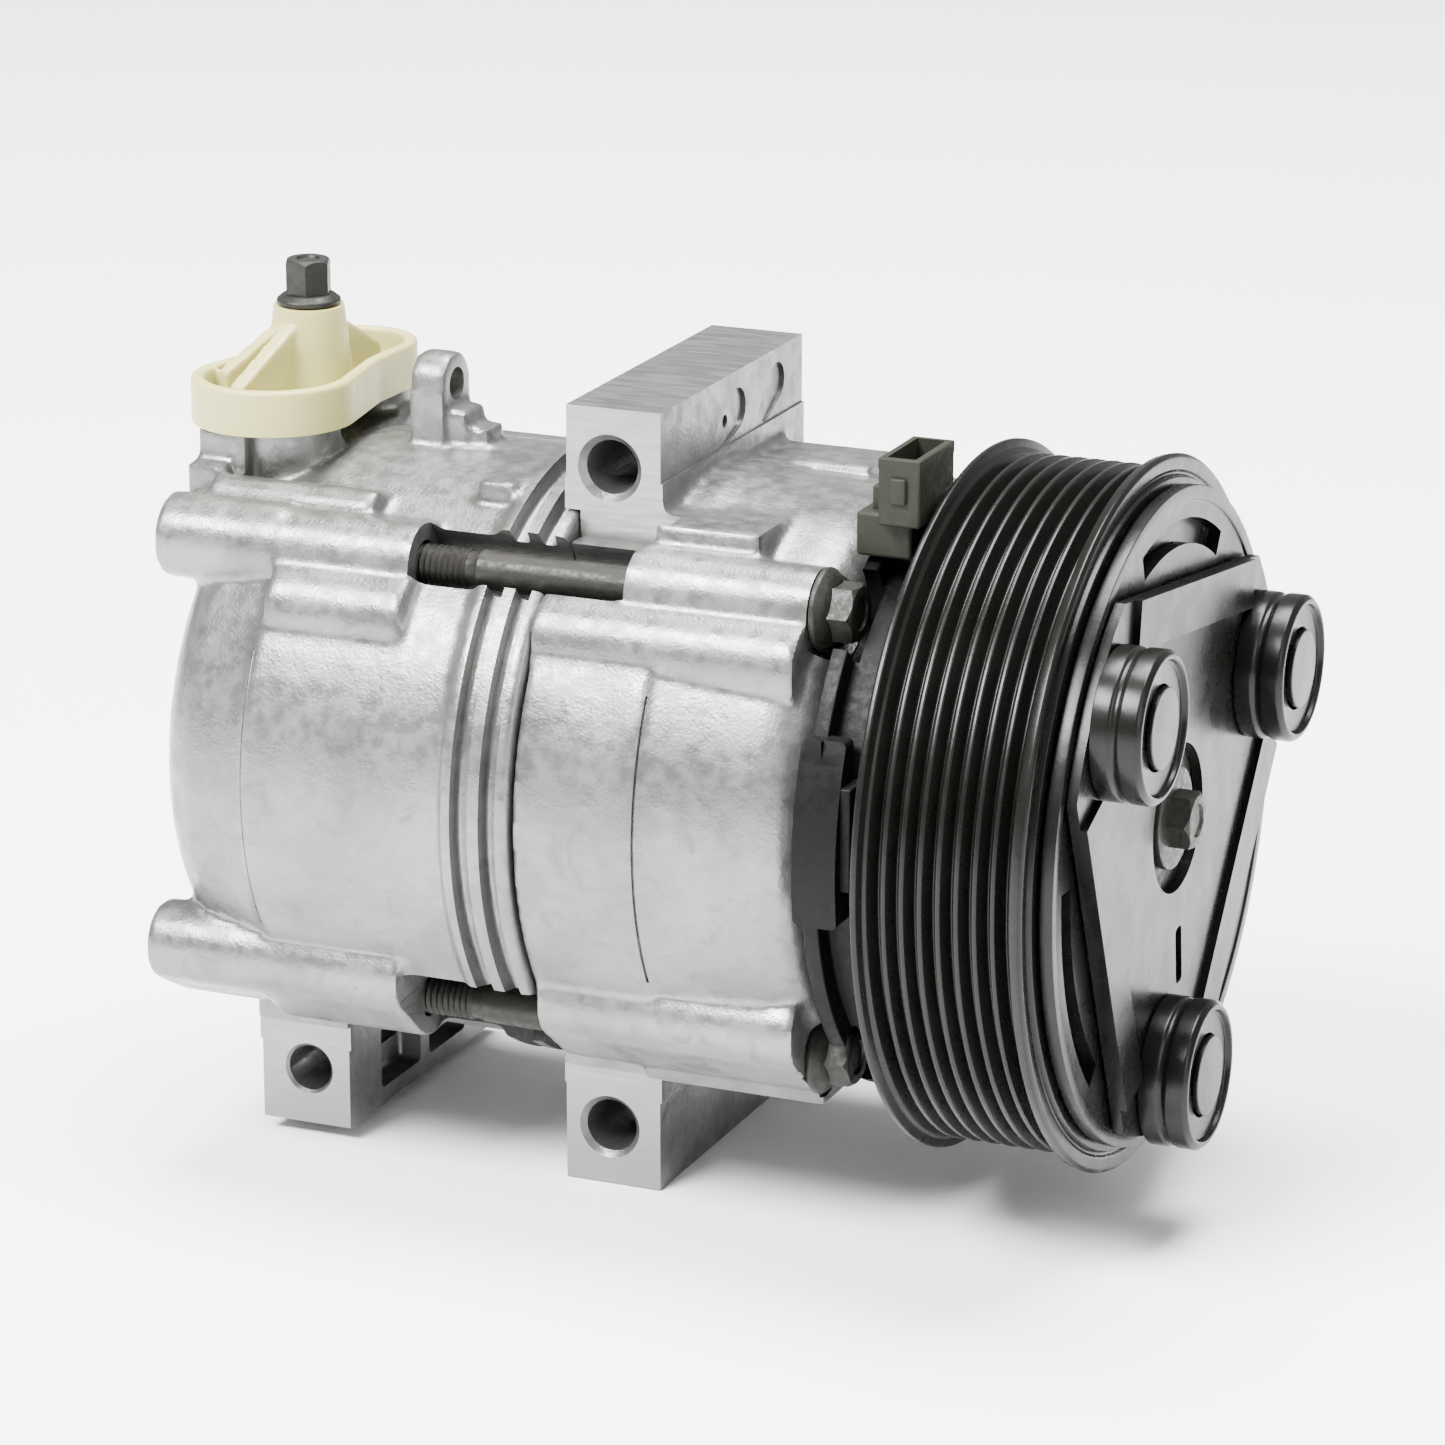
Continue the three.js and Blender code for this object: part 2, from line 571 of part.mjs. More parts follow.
function hubBoss() {
  const back = HUB_PLATE_X - TOUCH;
  return turned([
    [178, 8.3], [178, 12.5], [ARMATURE_X, 12.5], [ARMATURE_X, 21.5], [back, 21.5], [back, 8.3], [178, 8.3],
  ], MID_ROUND);
}

function hubBolt() {
  const washer = rod(10, HUB_PLATE_X, HUB_PLATE_X + 1.6, 0, 0, MID_ROUND);
  const head = rod(5.8, HUB_PLATE_X + 1.4, HUB_PLATE_X + 6, 0, 0, 6);
  return join(rod(3, 182, HUB_PLATE_X + 1, 0, 0), washer, head);
}

add("pulley", pulley(), glossBlack);
add("armature_plate", armature(), glossBlack);
add("hub_plate", hubPlate(), glossBlack);
add("hub_boss", hubBoss(), blackSteel);
add("hub_bolt", hubBolt(), blackSteel);
DAMPER_ANGLES.forEach((angle, index) => {
  const place = polar(DAMPER_RING_R, angle);
  const start = HUB_PLATE_X + HUB_PLATE_THICK + 2 * TOUCH;
  const core = ring(4.6, DAMPER_R - 1.4 - TOUCH, start, DAMPER_END_X - 2.8, SMALL_ROUND);
  add(`damper_cup_${index + 1}`, damperCup(place), glossBlack);
  add(`damper_rubber_${index + 1}`, core.translate([0, place.y, place.z]), rubber);
  add(`damper_rivet_${index + 1}`, rivet(place), glossBlack);
});

// ---- shipping cap over the two ports ----
// An outline around the two ports, with a waist between its round ends.
function capOutline(nearR, farR) {
  const near = { x: 11.7, y: -10.5 };
  const far = { x: 13.5, y: 22 };
  const shape = new THREE.Shape();
  const along = Math.atan2(far.y - near.y, far.x - near.x);
  const waist = 1.9;
  shape.absarc(near.x, near.y, nearR, along + Math.PI - waist, along + Math.PI + waist, false);
  shape.absarc(far.x, far.y, farR, along - waist + 0.3, along + waist - 0.3, false);
  shape.closePath();
  return shape;
}

// An upright fin from the cap's middle out to its rim.
function capFin(angle, length, rimZ) {
  const shape = new THREE.Shape();
  shape.moveTo(0, CAP_Z + 1);
  shape.lineTo(length, CAP_Z + 1);
  shape.lineTo(length, rimZ - 0.6);
  shape.lineTo(5, CAP_TOP_Z - 2);
  shape.lineTo(0, CAP_TOP_Z - 2);
  shape.closePath();
  const fin = new THREE.ExtrudeGeometry(shape, { depth: 2.4, bevelEnabled: false });
  fin.translate(0, 0, -1.2);
  fin.rotateX(Math.PI / 2);
  fin.rotateZ(angle);
  fin.translate(CAP_BOLT.x, CAP_BOLT.y, 0);
  return solid(fin);
}

function shippingCap() {
  const rimZ = CAP_Z + 9;
  const floorZ = CAP_Z + 3;
  const nearR = 16.4;
  const farR = 12.5;
  const wall = 2.8;
  const dish = cut(
    slabZ(capOutline(nearR, farR), CAP_Z, rimZ),
    slabZ(capOutline(nearR - wall, farR - wall), floorZ, rimZ + 1),
  );
  const boss = rodZ(9.2, floorZ - 1, CAP_TOP_Z, CAP_BOLT.x, CAP_BOLT.y, MID_ROUND, 6.9);
  const fins = [[-1.69, 27], [-2.2, 20], [1.32, 23]].map(([angle, length]) => capFin(angle, length, rimZ));
  return cut(join(dish, boss, ...fins), rodZ(4, CAP_Z - 1, CAP_TOP_Z + 1, CAP_BOLT.x, CAP_BOLT.y));
}

function capBolt() {
  const seat = CAP_TOP_Z + TOUCH;
  return join(
    rodZ(3, 48, seat + 1, CAP_BOLT.x, CAP_BOLT.y),
    rodZ(6.4, seat, seat + 2, CAP_BOLT.x, CAP_BOLT.y, MID_ROUND),
    rodZ(4.8, seat + 1.8, seat + 9, CAP_BOLT.x, CAP_BOLT.y, 6),
  );
}

add("shipping_cap", shippingCap(), nylon);
add("cap_bolt", capBolt(), blackSteel);

export default group;
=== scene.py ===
import json
import math

import bmesh
import bpy
from bpy.props import FloatProperty, FloatVectorProperty, IntProperty, PointerProperty
from mathutils import Matrix, Vector


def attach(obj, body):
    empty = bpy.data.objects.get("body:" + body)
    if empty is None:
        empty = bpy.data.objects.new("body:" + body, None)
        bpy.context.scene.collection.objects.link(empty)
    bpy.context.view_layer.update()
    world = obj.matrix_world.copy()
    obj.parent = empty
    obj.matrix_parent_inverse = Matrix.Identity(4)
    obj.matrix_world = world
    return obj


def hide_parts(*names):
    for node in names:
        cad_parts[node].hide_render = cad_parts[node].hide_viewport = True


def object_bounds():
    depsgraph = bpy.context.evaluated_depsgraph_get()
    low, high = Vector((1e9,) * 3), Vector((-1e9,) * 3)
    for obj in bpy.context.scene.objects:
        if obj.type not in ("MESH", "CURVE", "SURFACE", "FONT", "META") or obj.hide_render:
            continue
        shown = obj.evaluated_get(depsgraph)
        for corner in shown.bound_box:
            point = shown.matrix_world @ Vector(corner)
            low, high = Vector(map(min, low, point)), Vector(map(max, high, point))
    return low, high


bl_info = {
    "name": "Swash-plate compressor",
    "version": (1, 0, 0),
    "blender": (4, 5, 0),
    "location": "3D View > Sidebar > Compressor",
    "description": "Builds a belt-driven air conditioning compressor piece by piece around its frame",
    "category": "Object",
}

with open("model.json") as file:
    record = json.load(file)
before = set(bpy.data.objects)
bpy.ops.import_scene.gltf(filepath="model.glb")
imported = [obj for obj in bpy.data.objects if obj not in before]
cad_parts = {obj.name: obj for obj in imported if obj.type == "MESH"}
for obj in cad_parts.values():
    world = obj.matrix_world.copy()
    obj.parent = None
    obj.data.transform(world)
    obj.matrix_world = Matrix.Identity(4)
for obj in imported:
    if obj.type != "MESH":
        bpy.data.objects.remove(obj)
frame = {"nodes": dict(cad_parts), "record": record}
cad_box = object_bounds()

# Lengths below are in millimetres; pieces are scaled to metres when they are finished.
MM = 0.001
AXES = {
    "X": Matrix.Rotation(math.pi / 2, 3, "Y"),
    "Y": Matrix.Rotation(-math.pi / 2, 3, "X"),
    "Z": Matrix.Identity(3),
}
SEAM_X = 84.9
SEAM_GAP = 0.3
CREASE_X = 27
FRONT_FACE_X = 143
BORE_R = 46
# What melting and smoothing takes off a casting's flat ends, so they start this much too long.
CAST_SPARE = 1.2
BARREL_SIDES = 160
BOLT_SEAT_X = 138
BOLT_PLACES = {
    "upper_near": (-34.8, 43.9),
    "upper_far": (34.8, 43.9),
    "lower_near": (-34.8, -43.9),
    "lower_far": (34.8, -43.9),
}
REAR_BOSS_END_X = 56
UPPER_BOSS_X = 101
LOWER_BOSS_X = 86
LUG_NEAR_Y = -26.3
LUG_FAR_Y = 44
PORT_TOP_Z = 62
NEAR_PORT = (15, -10)
FAR_PORT = (15.5, 26)
CAP_BOLT = (11.8, 5)
EAR_EYE = (1, 70)
CAP_Z = 62.4
CAP_TOP_Z = 82
ARMATURE_X = 191.7
HUB_X = 195
CUP_END_X = 207
CUP_DISH = 1.1
CUP_RING_R = 48.8
CUP_ANGLES = [math.radians(a) for a in (22, 142, 262)]
EDGE_ANGLES = [math.radians(a) for a in (82, 202, 322)]


# ---- shapes ----
def rod(radius, start, end, at=(0, 0), axis="X", sides=48, end_radius=None):
    """A closed rod or cone along an axis. at gives the two other coordinates, in X, Y, Z order."""
    shape = bmesh.new()
    bmesh.ops.create_cone(
        shape, cap_ends=True, segments=sides, radius1=radius,
        radius2=radius if end_radius is None else end_radius, depth=end - start,
    )
    bmesh.ops.rotate(shape, verts=shape.verts, matrix=AXES[axis])
    middle = list(at)
    middle.insert("XYZ".index(axis), (start + end) / 2)
    bmesh.ops.translate(shape, verts=shape.verts, vec=middle)
    return shape


def block(low, high, bevel=0.0):
    shape = bmesh.new()
    bmesh.ops.create_cube(shape, size=1)
    bmesh.ops.scale(shape, verts=shape.verts, vec=[b - a for a, b in zip(low, high)])
    bmesh.ops.translate(shape, verts=shape.verts, vec=[(a + b) / 2 for a, b in zip(low, high)])
    if bevel:
        soften_edges(shape, bevel)
    return shape


def soften_edges(shape, width, segments=3, angle=30):
    """Rounds every edge that turns by more than an angle in degrees."""
    limit = math.radians(angle)
    edges = [e for e in shape.edges if len(e.link_faces) == 2 and e.calc_face_angle() > limit]
    bmesh.ops.bevel(
        shape, geom=edges, offset=width, affect="EDGES", segments=segments, profile=0.5,
        material=-1, clamp_overlap=True,
    )
    return shape


def rounded(points, radius, steps=3, closed=False):
    """Rounds the corners of an outline of [along, out] points."""
    corners = [Vector(p) for p in points]
    count = len(corners)
    result = []
    for i, corner in enumerate(corners):
        if not closed and i in (0, count - 1):
            result.append(corner)
            continue
        before, after = corners[i - 1] - corner, corners[(i + 1) % count] - corner
        reach = min(radius, before.length * 0.45, after.length * 0.45)
        first, last = corner + before.normalized() * reach, corner + after.normalized() * reach
        for k in range(steps + 1):
            t = k / steps
            result.append(first.lerp(corner, t).lerp(corner.lerp(last, t), t))
    return result


def lathe(points, sides=96, closed=False, at=(0, 0)):
    """Turns an outline of [along, out] points about the X axis."""
    shape = bmesh.new()
    verts = [shape.verts.new((p[0], 0, max(p[1], 0))) for p in points]
    edges = [shape.edges.new(pair) for pair in zip(verts, verts[1:])]
    if closed:
        edges.append(shape.edges.new((verts[-1], verts[0])))
    bmesh.ops.spin(
        shape, geom=verts + edges, cent=(0, 0, 0), axis=(1, 0, 0), angle=math.tau, steps=sides,
        use_merge=True, use_duplicate=False,
    )
    bmesh.ops.remove_doubles(shape, verts=shape.verts, dist=0.0005)
    bmesh.ops.recalc_face_normals(shape, faces=shape.faces)
    bmesh.ops.translate(shape, verts=shape.verts, vec=(0, at[0], at[1]))
    return shape


def ring(inner, outer, start, end, radius=0.3, sides=96, at=(0, 0)):
    outline = [(start, inner), (start, outer), (end, outer), (end, inner)]
    return lathe(rounded(outline, radius, closed=True), sides, True, at)


def arc_slot(middle, half, inner, outer, start, end, steps=24):
    """A block with a rectangular section that runs along an arc about the X axis."""
    shape = bmesh.new()
    corners = [(start, inner), (start, outer), (end, outer), (end, inner)]
    face = shape.faces.new([shape.verts.new((x, r, 0)) for x, r in corners])
    bmesh.ops.rotate(shape, verts=shape.verts, matrix=Matrix.Rotation(middle - half, 3, "X"))
    geometry = list(shape.verts) + list(shape.edges) + [face]
    bmesh.ops.spin(
        shape, geom=geometry, cent=(0, 0, 0), axis=(1, 0, 0), angle=2 * half, steps=steps,
        use_duplicate=False,
    )
    bmesh.ops.recalc_face_normals(shape, faces=shape.faces)
    return shape


def turn(shape, angle, axis="X", about=(0, 0, 0)):
    bmesh.ops.rotate(shape, verts=shape.verts, cent=about, matrix=Matrix.Rotation(angle, 3, axis))
    return shape


def hull(*shapes):
    whole = gather(*shapes)
    result = bmesh.ops.convex_hull(whole, input=whole.verts, use_existing_faces=False)
    left_over = result["geom_interior"] + result["geom_unused"]
    inside = [g for g in left_over if isinstance(g, bmesh.types.BMVert)]
    bmesh.ops.delete(whole, geom=list(set(inside)), context="VERTS")
    stale = [f for f in whole.faces if f not in set(result["geom"])]
    bmesh.ops.delete(whole, geom=stale, context="FACES_ONLY")
    bmesh.ops.recalc_face_normals(whole, faces=whole.faces)
    return whole


def gather(*shapes):
    """Puts closed shapes into one mesh, where they may run through each other."""
    whole = bmesh.new()
    for shape in shapes:
        mesh = bpy.data.meshes.new("shape")
        shape.to_mesh(mesh)
        shape.free()
        whole.from_mesh(mesh)
        bpy.data.meshes.remove(mesh)
    return whole


def worked(shape, steps):
    """Runs modifiers, given as (kind, settings), on a shape."""
    made = []

    def holder(body):
        mesh = bpy.data.meshes.new("shape")
        body.to_mesh(mesh)
        body.free()
        piece = bpy.data.objects.new("shape", mesh)
        bpy.context.scene.collection.objects.link(piece)
        made.append(piece)
        return piece

    base = holder(shape)
    for kind, settings in steps:
        modifier = base.modifiers.new(kind, kind)
        for key, value in settings.items():
            setattr(modifier, key, holder(value) if key == "object" else value)
    result = bmesh.new()
    result.from_object(base, bpy.context.evaluated_depsgraph_get())
    for piece in made:
        bpy.data.meshes.remove(piece.data)
    return result


def combined(operation, base, shapes):
    steps = [("BOOLEAN", {"operation": operation, "solver": "MANIFOLD", "object": s}) for s in shapes]
    result = worked(base, steps)
    if not result.faces:
        raise RuntimeError(f"{operation} left nothing")
    return result


def join(base, *shapes):
    return combined("UNION", base, shapes)


def cut(base, *shapes):
    return combined("DIFFERENCE", base, shapes)


def common(base, *shapes):
    return combined("INTERSECT", base, shapes)


def cast(shapes, grid, smoothing):
    """Melts shapes that run through each other into one skin with soft corners, as a casting has."""
    return worked(gather(*shapes), [
        ("REMESH", {"mode": "VOXEL", "voxel_size": grid, "adaptivity": 0}),
        ("SMOOTH", {"factor": 0.5, "iterations": smoothing}),
    ])


def flat_ngons(shape):
    bmesh.ops.dissolve_limit(
        shape, angle_limit=math.radians(0.5), verts=shape.verts, edges=shape.edges,
        use_dissolve_boundaries=False, delimit=set(),
    )
    return shape


def mark_faces(shape, axis, places, facing=0.999, reach=0.02):
    """Gives the flat faces that stand at any of the places along an axis a second material."""
    k = "XYZ".index(axis)
    for face in shape.faces:
        where = face.calc_center_median()[k]
        if abs(face.normal[k]) > facing and any(abs(where - p) < reach for p in places):
            face.material_index = 1
    return shape


def finish(shape, name, body, nodes, slot, materials, sharp=32):
    """Makes the finished piece: in metres, shaded, riding on its body and standing for its nodes."""
    bmesh.ops.scale(shape, verts=shape.verts, vec=(MM, MM, MM))
    for face in shape.faces:
        face.smooth = True
    mesh = bpy.data.meshes.new(name)
    shape.to_mesh(mesh)
    shape.free()
    mesh.set_sharp_from_angle(angle=math.radians(sharp))
    piece = bpy.data.objects.new(name, mesh)
    bpy.context.scene.collection.objects.link(piece)
    for material in materials:
        mesh.materials.append(material)
    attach(piece, body)
    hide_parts(*nodes)
    return piece


# ---- finishes ----
class Finish:
    """A material with a Principled shader and short ways to drive it from patterns on Object coordinates."""

    def __init__(self, name, **sockets):
        self.material = bpy.data.materials.new(name)
        self.material.use_nodes = True
        self.nodes = self.material.node_tree.nodes
        self.links = self.material.node_tree.links
        self.shader = self.nodes["Principled BSDF"]
        self.place = self.nodes.new("ShaderNodeTexCoord").outputs["Object"]
        for key, value in sockets.items():
            self.shader.inputs[key.replace("_", " ")].default_value = value

    def stretched(self, scale):
        mapping = self.nodes.new("ShaderNodeMapping")
        mapping.inputs["Scale"].default_value = scale
        self.links.new(self.place, mapping.inputs["Vector"])
        return mapping.outputs["Vector"]

    def noise(self, scale, detail=3.0, roughness=0.55, distortion=0.0, stretch=None):
        node = self.nodes.new("ShaderNodeTexNoise")
        settings = {"Scale": scale, "Detail": detail, "Roughness": roughness, "Distortion": distortion}
        for key, value in settings.items():
            node.inputs[key].default_value = value
        self.links.new(self.stretched(stretch) if stretch else self.place, node.inputs["Vector"])
        return node.outputs["Fac"]

    def levels(self, source, low, high, to_low=0.0, to_high=1.0):
        node = self.nodes.new("ShaderNodeMapRange")
        node.interpolation_type = "SMOOTHSTEP"
        for key, value in (("From Min", low), ("From Max", high), ("To Min", to_low), ("To Max", to_high)):
            node.inputs[key].default_value = value
        self.links.new(source, node.inputs["Value"])
        return node.outputs["Result"]

    def blend(self, factor, first, second):
        node = self.nodes.new("ShaderNodeMix")
        node.data_type = "RGBA"
        self.links.new(factor, node.inputs["Factor"])
        for socket, value in ((node.inputs[6], first), (node.inputs[7], second)):
            if isinstance(value, bpy.types.NodeSocket):
                self.links.new(value, socket)
            else:
                socket.default_value = (*value[:3], 1)
        return node.outputs[2]

    def drive(self, socket, source):
        self.links.new(source, self.shader.inputs[socket])

    def bump(self, source, height, strength=1.0):
        node = self.nodes.new("ShaderNodeBump")
        node.inputs["Strength"].default_value = strength
        node.inputs["Distance"].default_value = height
        self.links.new(source, node.inputs["Height"])
        earlier = self.shader.inputs["Normal"].links
        if earlier:
            self.links.new(earlier[0].from_socket, node.inputs["Normal"])
        self.links.new(node.outputs["Normal"], self.shader.inputs["Normal"])


def shaded(color, factor):
    return tuple(c * factor for c in color)


def cast_finish(name, color):
    finish = Finish(name, Metallic=0.8, Specular_IOR_Level=0.4)
    clouds = finish.levels(finish.noise(38, 4, 0.6, 0.6), 0.33, 0.68)
    stains = finish.levels(finish.noise(120, 5, 0.65, 1.2), 0.5, 0.72)
    tone = finish.blend(clouds, shaded(color, 0.72), color)
    finish.drive("Base Color", finish.blend(stains, tone, shaded(color, 0.66)))
    finish.drive("Roughness", finish.levels(finish.noise(300, 4), 0.3, 0.7, 0.28, 0.46))
    finish.bump(finish.noise(90, 3), 0.0009, 0.35)
    finish.bump(finish.noise(1500, 2), 0.00012, 0.6)
    return finish.material


def machined_finish(name, color):
    finish = Finish(name, Metallic=0.9)
    marks = finish.noise(900, 2, 0.5, 0.0, (0.12, 1, 1.4))
    finish.drive("Base Color", finish.blend(finish.noise(160, 3), shaded(color, 0.88), color))
    finish.drive("Roughness", finish.levels(marks, 0.3, 0.7, 0.26, 0.42))
    finish.bump(marks, 0.00002, 0.4)
    return finish.material


def enamel_finish(name, color, dust):
    finish = Finish(name, Specular_IOR_Level=0.18)
    specks = finish.levels(finish.noise(1100, 3, 0.7), 0.62, 0.78, 0.0, dust)
    film = finish.levels(finish.noise(45, 3, 0.6, 0.8), 0.45, 0.8, 0.0, dust * 0.5)
    tone = finish.blend(specks, color, (0.13, 0.125, 0.115))
    finish.drive("Base Color", finish.blend(film, tone, (0.07, 0.068, 0.062)))
    finish.drive("Roughness", finish.levels(finish.noise(140, 4), 0.3, 0.75, 0.24, 0.34))
    finish.bump(finish.noise(500, 2), 0.00006, 0.5)
    return finish.material


def phosphate_finish(name, color):
    finish = Finish(name, Metallic=0.25, Specular_IOR_Level=0.3)
    grain = finish.noise(420, 4, 0.65)
    finish.drive("Base Color", finish.blend(grain, shaded(color, 0.55), shaded(color, 1.5)))
    finish.drive("Roughness", finish.levels(finish.noise(700, 3), 0.3, 0.7, 0.36, 0.6))
    finish.bump(finish.noise(1600, 2), 0.00008, 0.6)
    return finish.material


def nylon_finish(name, color):
    finish = Finish(name, Subsurface_Weight=0.35, Subsurface_Scale=0.003, Roughness=0.42)
    finish.drive("Base Color", finish.blend(finish.noise(70, 3), shaded(color, 0.92), color))
    finish.drive("Roughness", finish.levels(finish.noise(500, 3), 0.3, 0.7, 0.36, 0.5))
    finish.bump(finish.noise(600, 2), 0.00006, 0.5)
    return finish.material


def moulded_finish(name, color, roughness):
    finish = Finish(name, Specular_IOR_Level=0.1)
    finish.drive("Base Color", finish.blend(finish.noise(260, 4), shaded(color, 0.75), shaded(color, 1.2)))
    sheen = finish.noise(600, 3)
    finish.drive("Roughness", finish.levels(sheen, 0.3, 0.7, roughness - 0.07, roughness + 0.1))
    finish.bump(finish.noise(2200, 2), 0.00006, 0.6)
    return finish.material


def ground_steel_finish(name, color):
    finish = Finish(name, Metallic=1.0)
    finish.drive("Base Color", finish.blend(finish.noise(240, 3), shaded(color, 0.8), color))
    finish.drive("Roughness", finish.levels(finish.noise(1200, 2, 0.5, 0, (0.1, 1, 1)), 0.3, 0.7, 0.2, 0.36))
    finish.bump(finish.noise(2400, 2), 0.00003, 0.5)
    return finish.material


MATERIALS = {}


def finishes(colors):
    """The materials by slot name, made once."""
    if not MATERIALS:
        MATERIALS.update(
            cast_aluminium=cast_finish("cast aluminium", colors.casting),
            machined_aluminium=machined_finish("machined aluminium", colors.machined),
            gloss_black=enamel_finish("gloss black enamel", colors.enamel, 0.04),
            pulley_black=enamel_finish("pulley enamel", colors.enamel, 0.06),
            black_steel=phosphate_finish("black phosphate", colors.bolt),
            coil_black=moulded_finish("coil black", colors.coil, 0.45),
            olive_grey=moulded_finish("olive grey moulding", colors.connector, 0.5),
            nylon=nylon_finish("cream nylon", colors.nylon),
            rubber=moulded_finish("damper rubber", colors.rubber, 0.75),
            seal=moulded_finish("seal rubber", colors.rubber, 0.6),
            steel=ground_steel_finish("ground steel", colors.steel),
        )
    return MATERIALS


# ---- castings ----
def bolt_channels(start, upper_end, lower_end):
    """The slots along the barrel that leave the through bolts bare."""
    radius = 6.6
    shapes = []
    for y, z in BOLT_PLACES.values():
        low, high = sorted((start, upper_end if z > 0 else lower_end))
        sides = [rod(radius, low, high, (y * a, z * a)) for a in (1, 1.13)]
        if z < 0:
            sides.append(rod(8, low, high, (y * 1.5, z * 0.98)))
        shapes.append(hull(*sides))
    return shapes


def crease(x, radius):
    """A fine groove along each bare side of the barrel."""
    return [arc_slot(middle, 0.5, radius, radius + 3, x - 0.25, x + 0.25) for middle in (0, math.pi)]


def skirt(y, z, start, end):
    """The low swelling of the barrel beside an upper boss."""
    return rod(9.5, start, end, (y * 1.15, z * 0.77))


def lower_boss(y, z, radius, start, end):
    """A bolt boss whose outer side swells out past the barrel, above the bolt."""
    return hull(rod(radius, start, end, (y * 0.96, z + 1.6)), rod(8, start, end, (y * 1.24, z * 0.84)))


def mounting_bore(x, z, radius, chamfer):
    reach = 4
    return [
        rod(radius, LUG_NEAR_Y - reach, LUG_FAR_Y + reach, (x, z), "Y", 64),
        rod(radius + chamfer + 1, LUG_NEAR_Y - 1, LUG_NEAR_Y + chamfer, (x, z), "Y", 64, radius),
    ]


def rear_casting(sizes):
    spare = CAST_SPARE
    end = SEAM_X - SEAM_GAP
    shell = lathe(rounded([
        (0, 0), (0, 34), (6.4, 48.2), (9, 51.6), (13.4, 54.4),
        (CREASE_X - 0.6, 57.4), (CREASE_X - 0.3, 56.9), (CREASE_X + 0.6, 58.6),
        (69.8, 58.6), (70.6, 60.8), (end, 60.8), (end, 0),
    ], 0.8), BARREL_SIDES)
    solids = [shell]
    for y, z in BOLT_PLACES.values():
        if z > 0:
            solids.append(rod(8.4, 1.4, CREASE_X, (y, z)))
            solids.append(rod(7.8, CREASE_X - 2, REAR_BOSS_END_X + spare, (y, z)))
            solids.append(rod(9.6, CREASE_X + 2, REAR_BOSS_END_X + spare, (y * 0.9, z * 0.9)))
            solids.append(skirt(y, z, CREASE_X + 1, REAR_BOSS_END_X + spare))
        else:
            solids.append(lower_boss(y, z, 8, 1.4, CREASE_X))
            solids.append(lower_boss(y, z, 10.2, CREASE_X - 2, REAR_BOSS_END_X + 0.4))
    port_top = PORT_TOP_Z + spare
    low_lug = [block((13.5, LUG_NEAR_Y - spare, -79.5), (33.8, LUG_FAR_Y + spare, -50))]
    gallery_rail = [rod(4.6, 8, 44, (-28.5, 50.5), sides=32), block((6, -34, 40), (40, -24, 49.5))]
    port_block = [
        block((1.6, -24, 44), (12, -4, port_top)),
        block((0.8, -27, 44), (9, -10, 56)),
        rod(9.8, 44, port_top, NEAR_PORT, "Z"),
        rod(8.4, 40, port_top, FAR_PORT, "Z"),
        rod(6.5, 44, port_top, CAP_BOLT, "Z"),
        block((5, -8, 40), (25, 30, 57)),
    ]
    ear = [
        rod(6.4, 38.7, 46, EAR_EYE, sides=40),
        block((38.7, -5.4, 50), (46, 7.4, 70)),
        block((45, -3.8, 50), (50.2, 5.8, 65.6)),
        block((49, -2.8, 50), (54.7, 4.8, 62.2)),
    ]
    pad = [block((62, -24, 52), (69.5, -15, 58.2))]
    solids += [*low_lug, *gallery_rail, *port_block, *ear, *pad]
    casting = cast(solids, sizes.casting_grid / MM, sizes.casting_smoothing)
    grooves = []
    for a, b in ((73.1, 76.2), (79.1, 81.9)):
        outline = rounded([(a, 57.4), (b, 57.4), (b + 0.5, 63), (a - 0.5, 63)], 0.9, closed=True)
        grooves.append(lathe(outline, BARREL_SIDES, True))
    casting = cut(
        casting,
        *grooves,
        *crease(CREASE_X + 0.2, 57.7),
        rod(80, end, end + 10, sides=96),
        *bolt_channels(SEAM_X + 2, REAR_BOSS_END_X, REAR_BOSS_END_X),
        *[rod(4.4, 14, 92, place, sides=32) for place in BOLT_PLACES.values()],
        rod(BORE_R, 24.5, SEAM_X + 2, sides=128),
        rod(27, 11, 25, sides=64),
        block((8, LUG_NEAR_Y - 6, -90), (40, LUG_NEAR_Y, -57)),
        block((8, LUG_FAR_Y, -90), (40, LUG_FAR_Y + 6, -50)),
        block((8, -60, -90), (40, 60, -78.5)),
        block((8, -60, -90), (14, 60, -62)),
        block((33.3, -60, -90), (40, 60, -62)),
        block((-2, -30, PORT_TOP_Z), (30, 40, PORT_TOP_Z + 6)),
        *[block((28.2, a, -75), (36, b, -60), 1.2) for a, b in ((-12, 6), (10, 27))],
        *[block((10, a, -75), (19, b, -60), 1.2) for a, b in ((-12, 6), (10, 27))],
        rod(6, 36, PORT_TOP_Z + 2, NEAR_PORT, "Z"),
        rod(4.6, 6, PORT_TOP_Z + 2, FAR_PORT, "Z"),
        rod(3.4, 46, PORT_TOP_Z + 2, CAP_BOLT, "Z"),
        rod(3.3, 37, 58, EAR_EYE, sides=40),
        *mounting_bore(24.3, -67, 4.7, 0.6),
    )
    mark_faces(casting, "Y", (LUG_NEAR_Y, LUG_FAR_Y))
    mark_faces(casting, "Z", (PORT_TOP_Z,))
    return casting


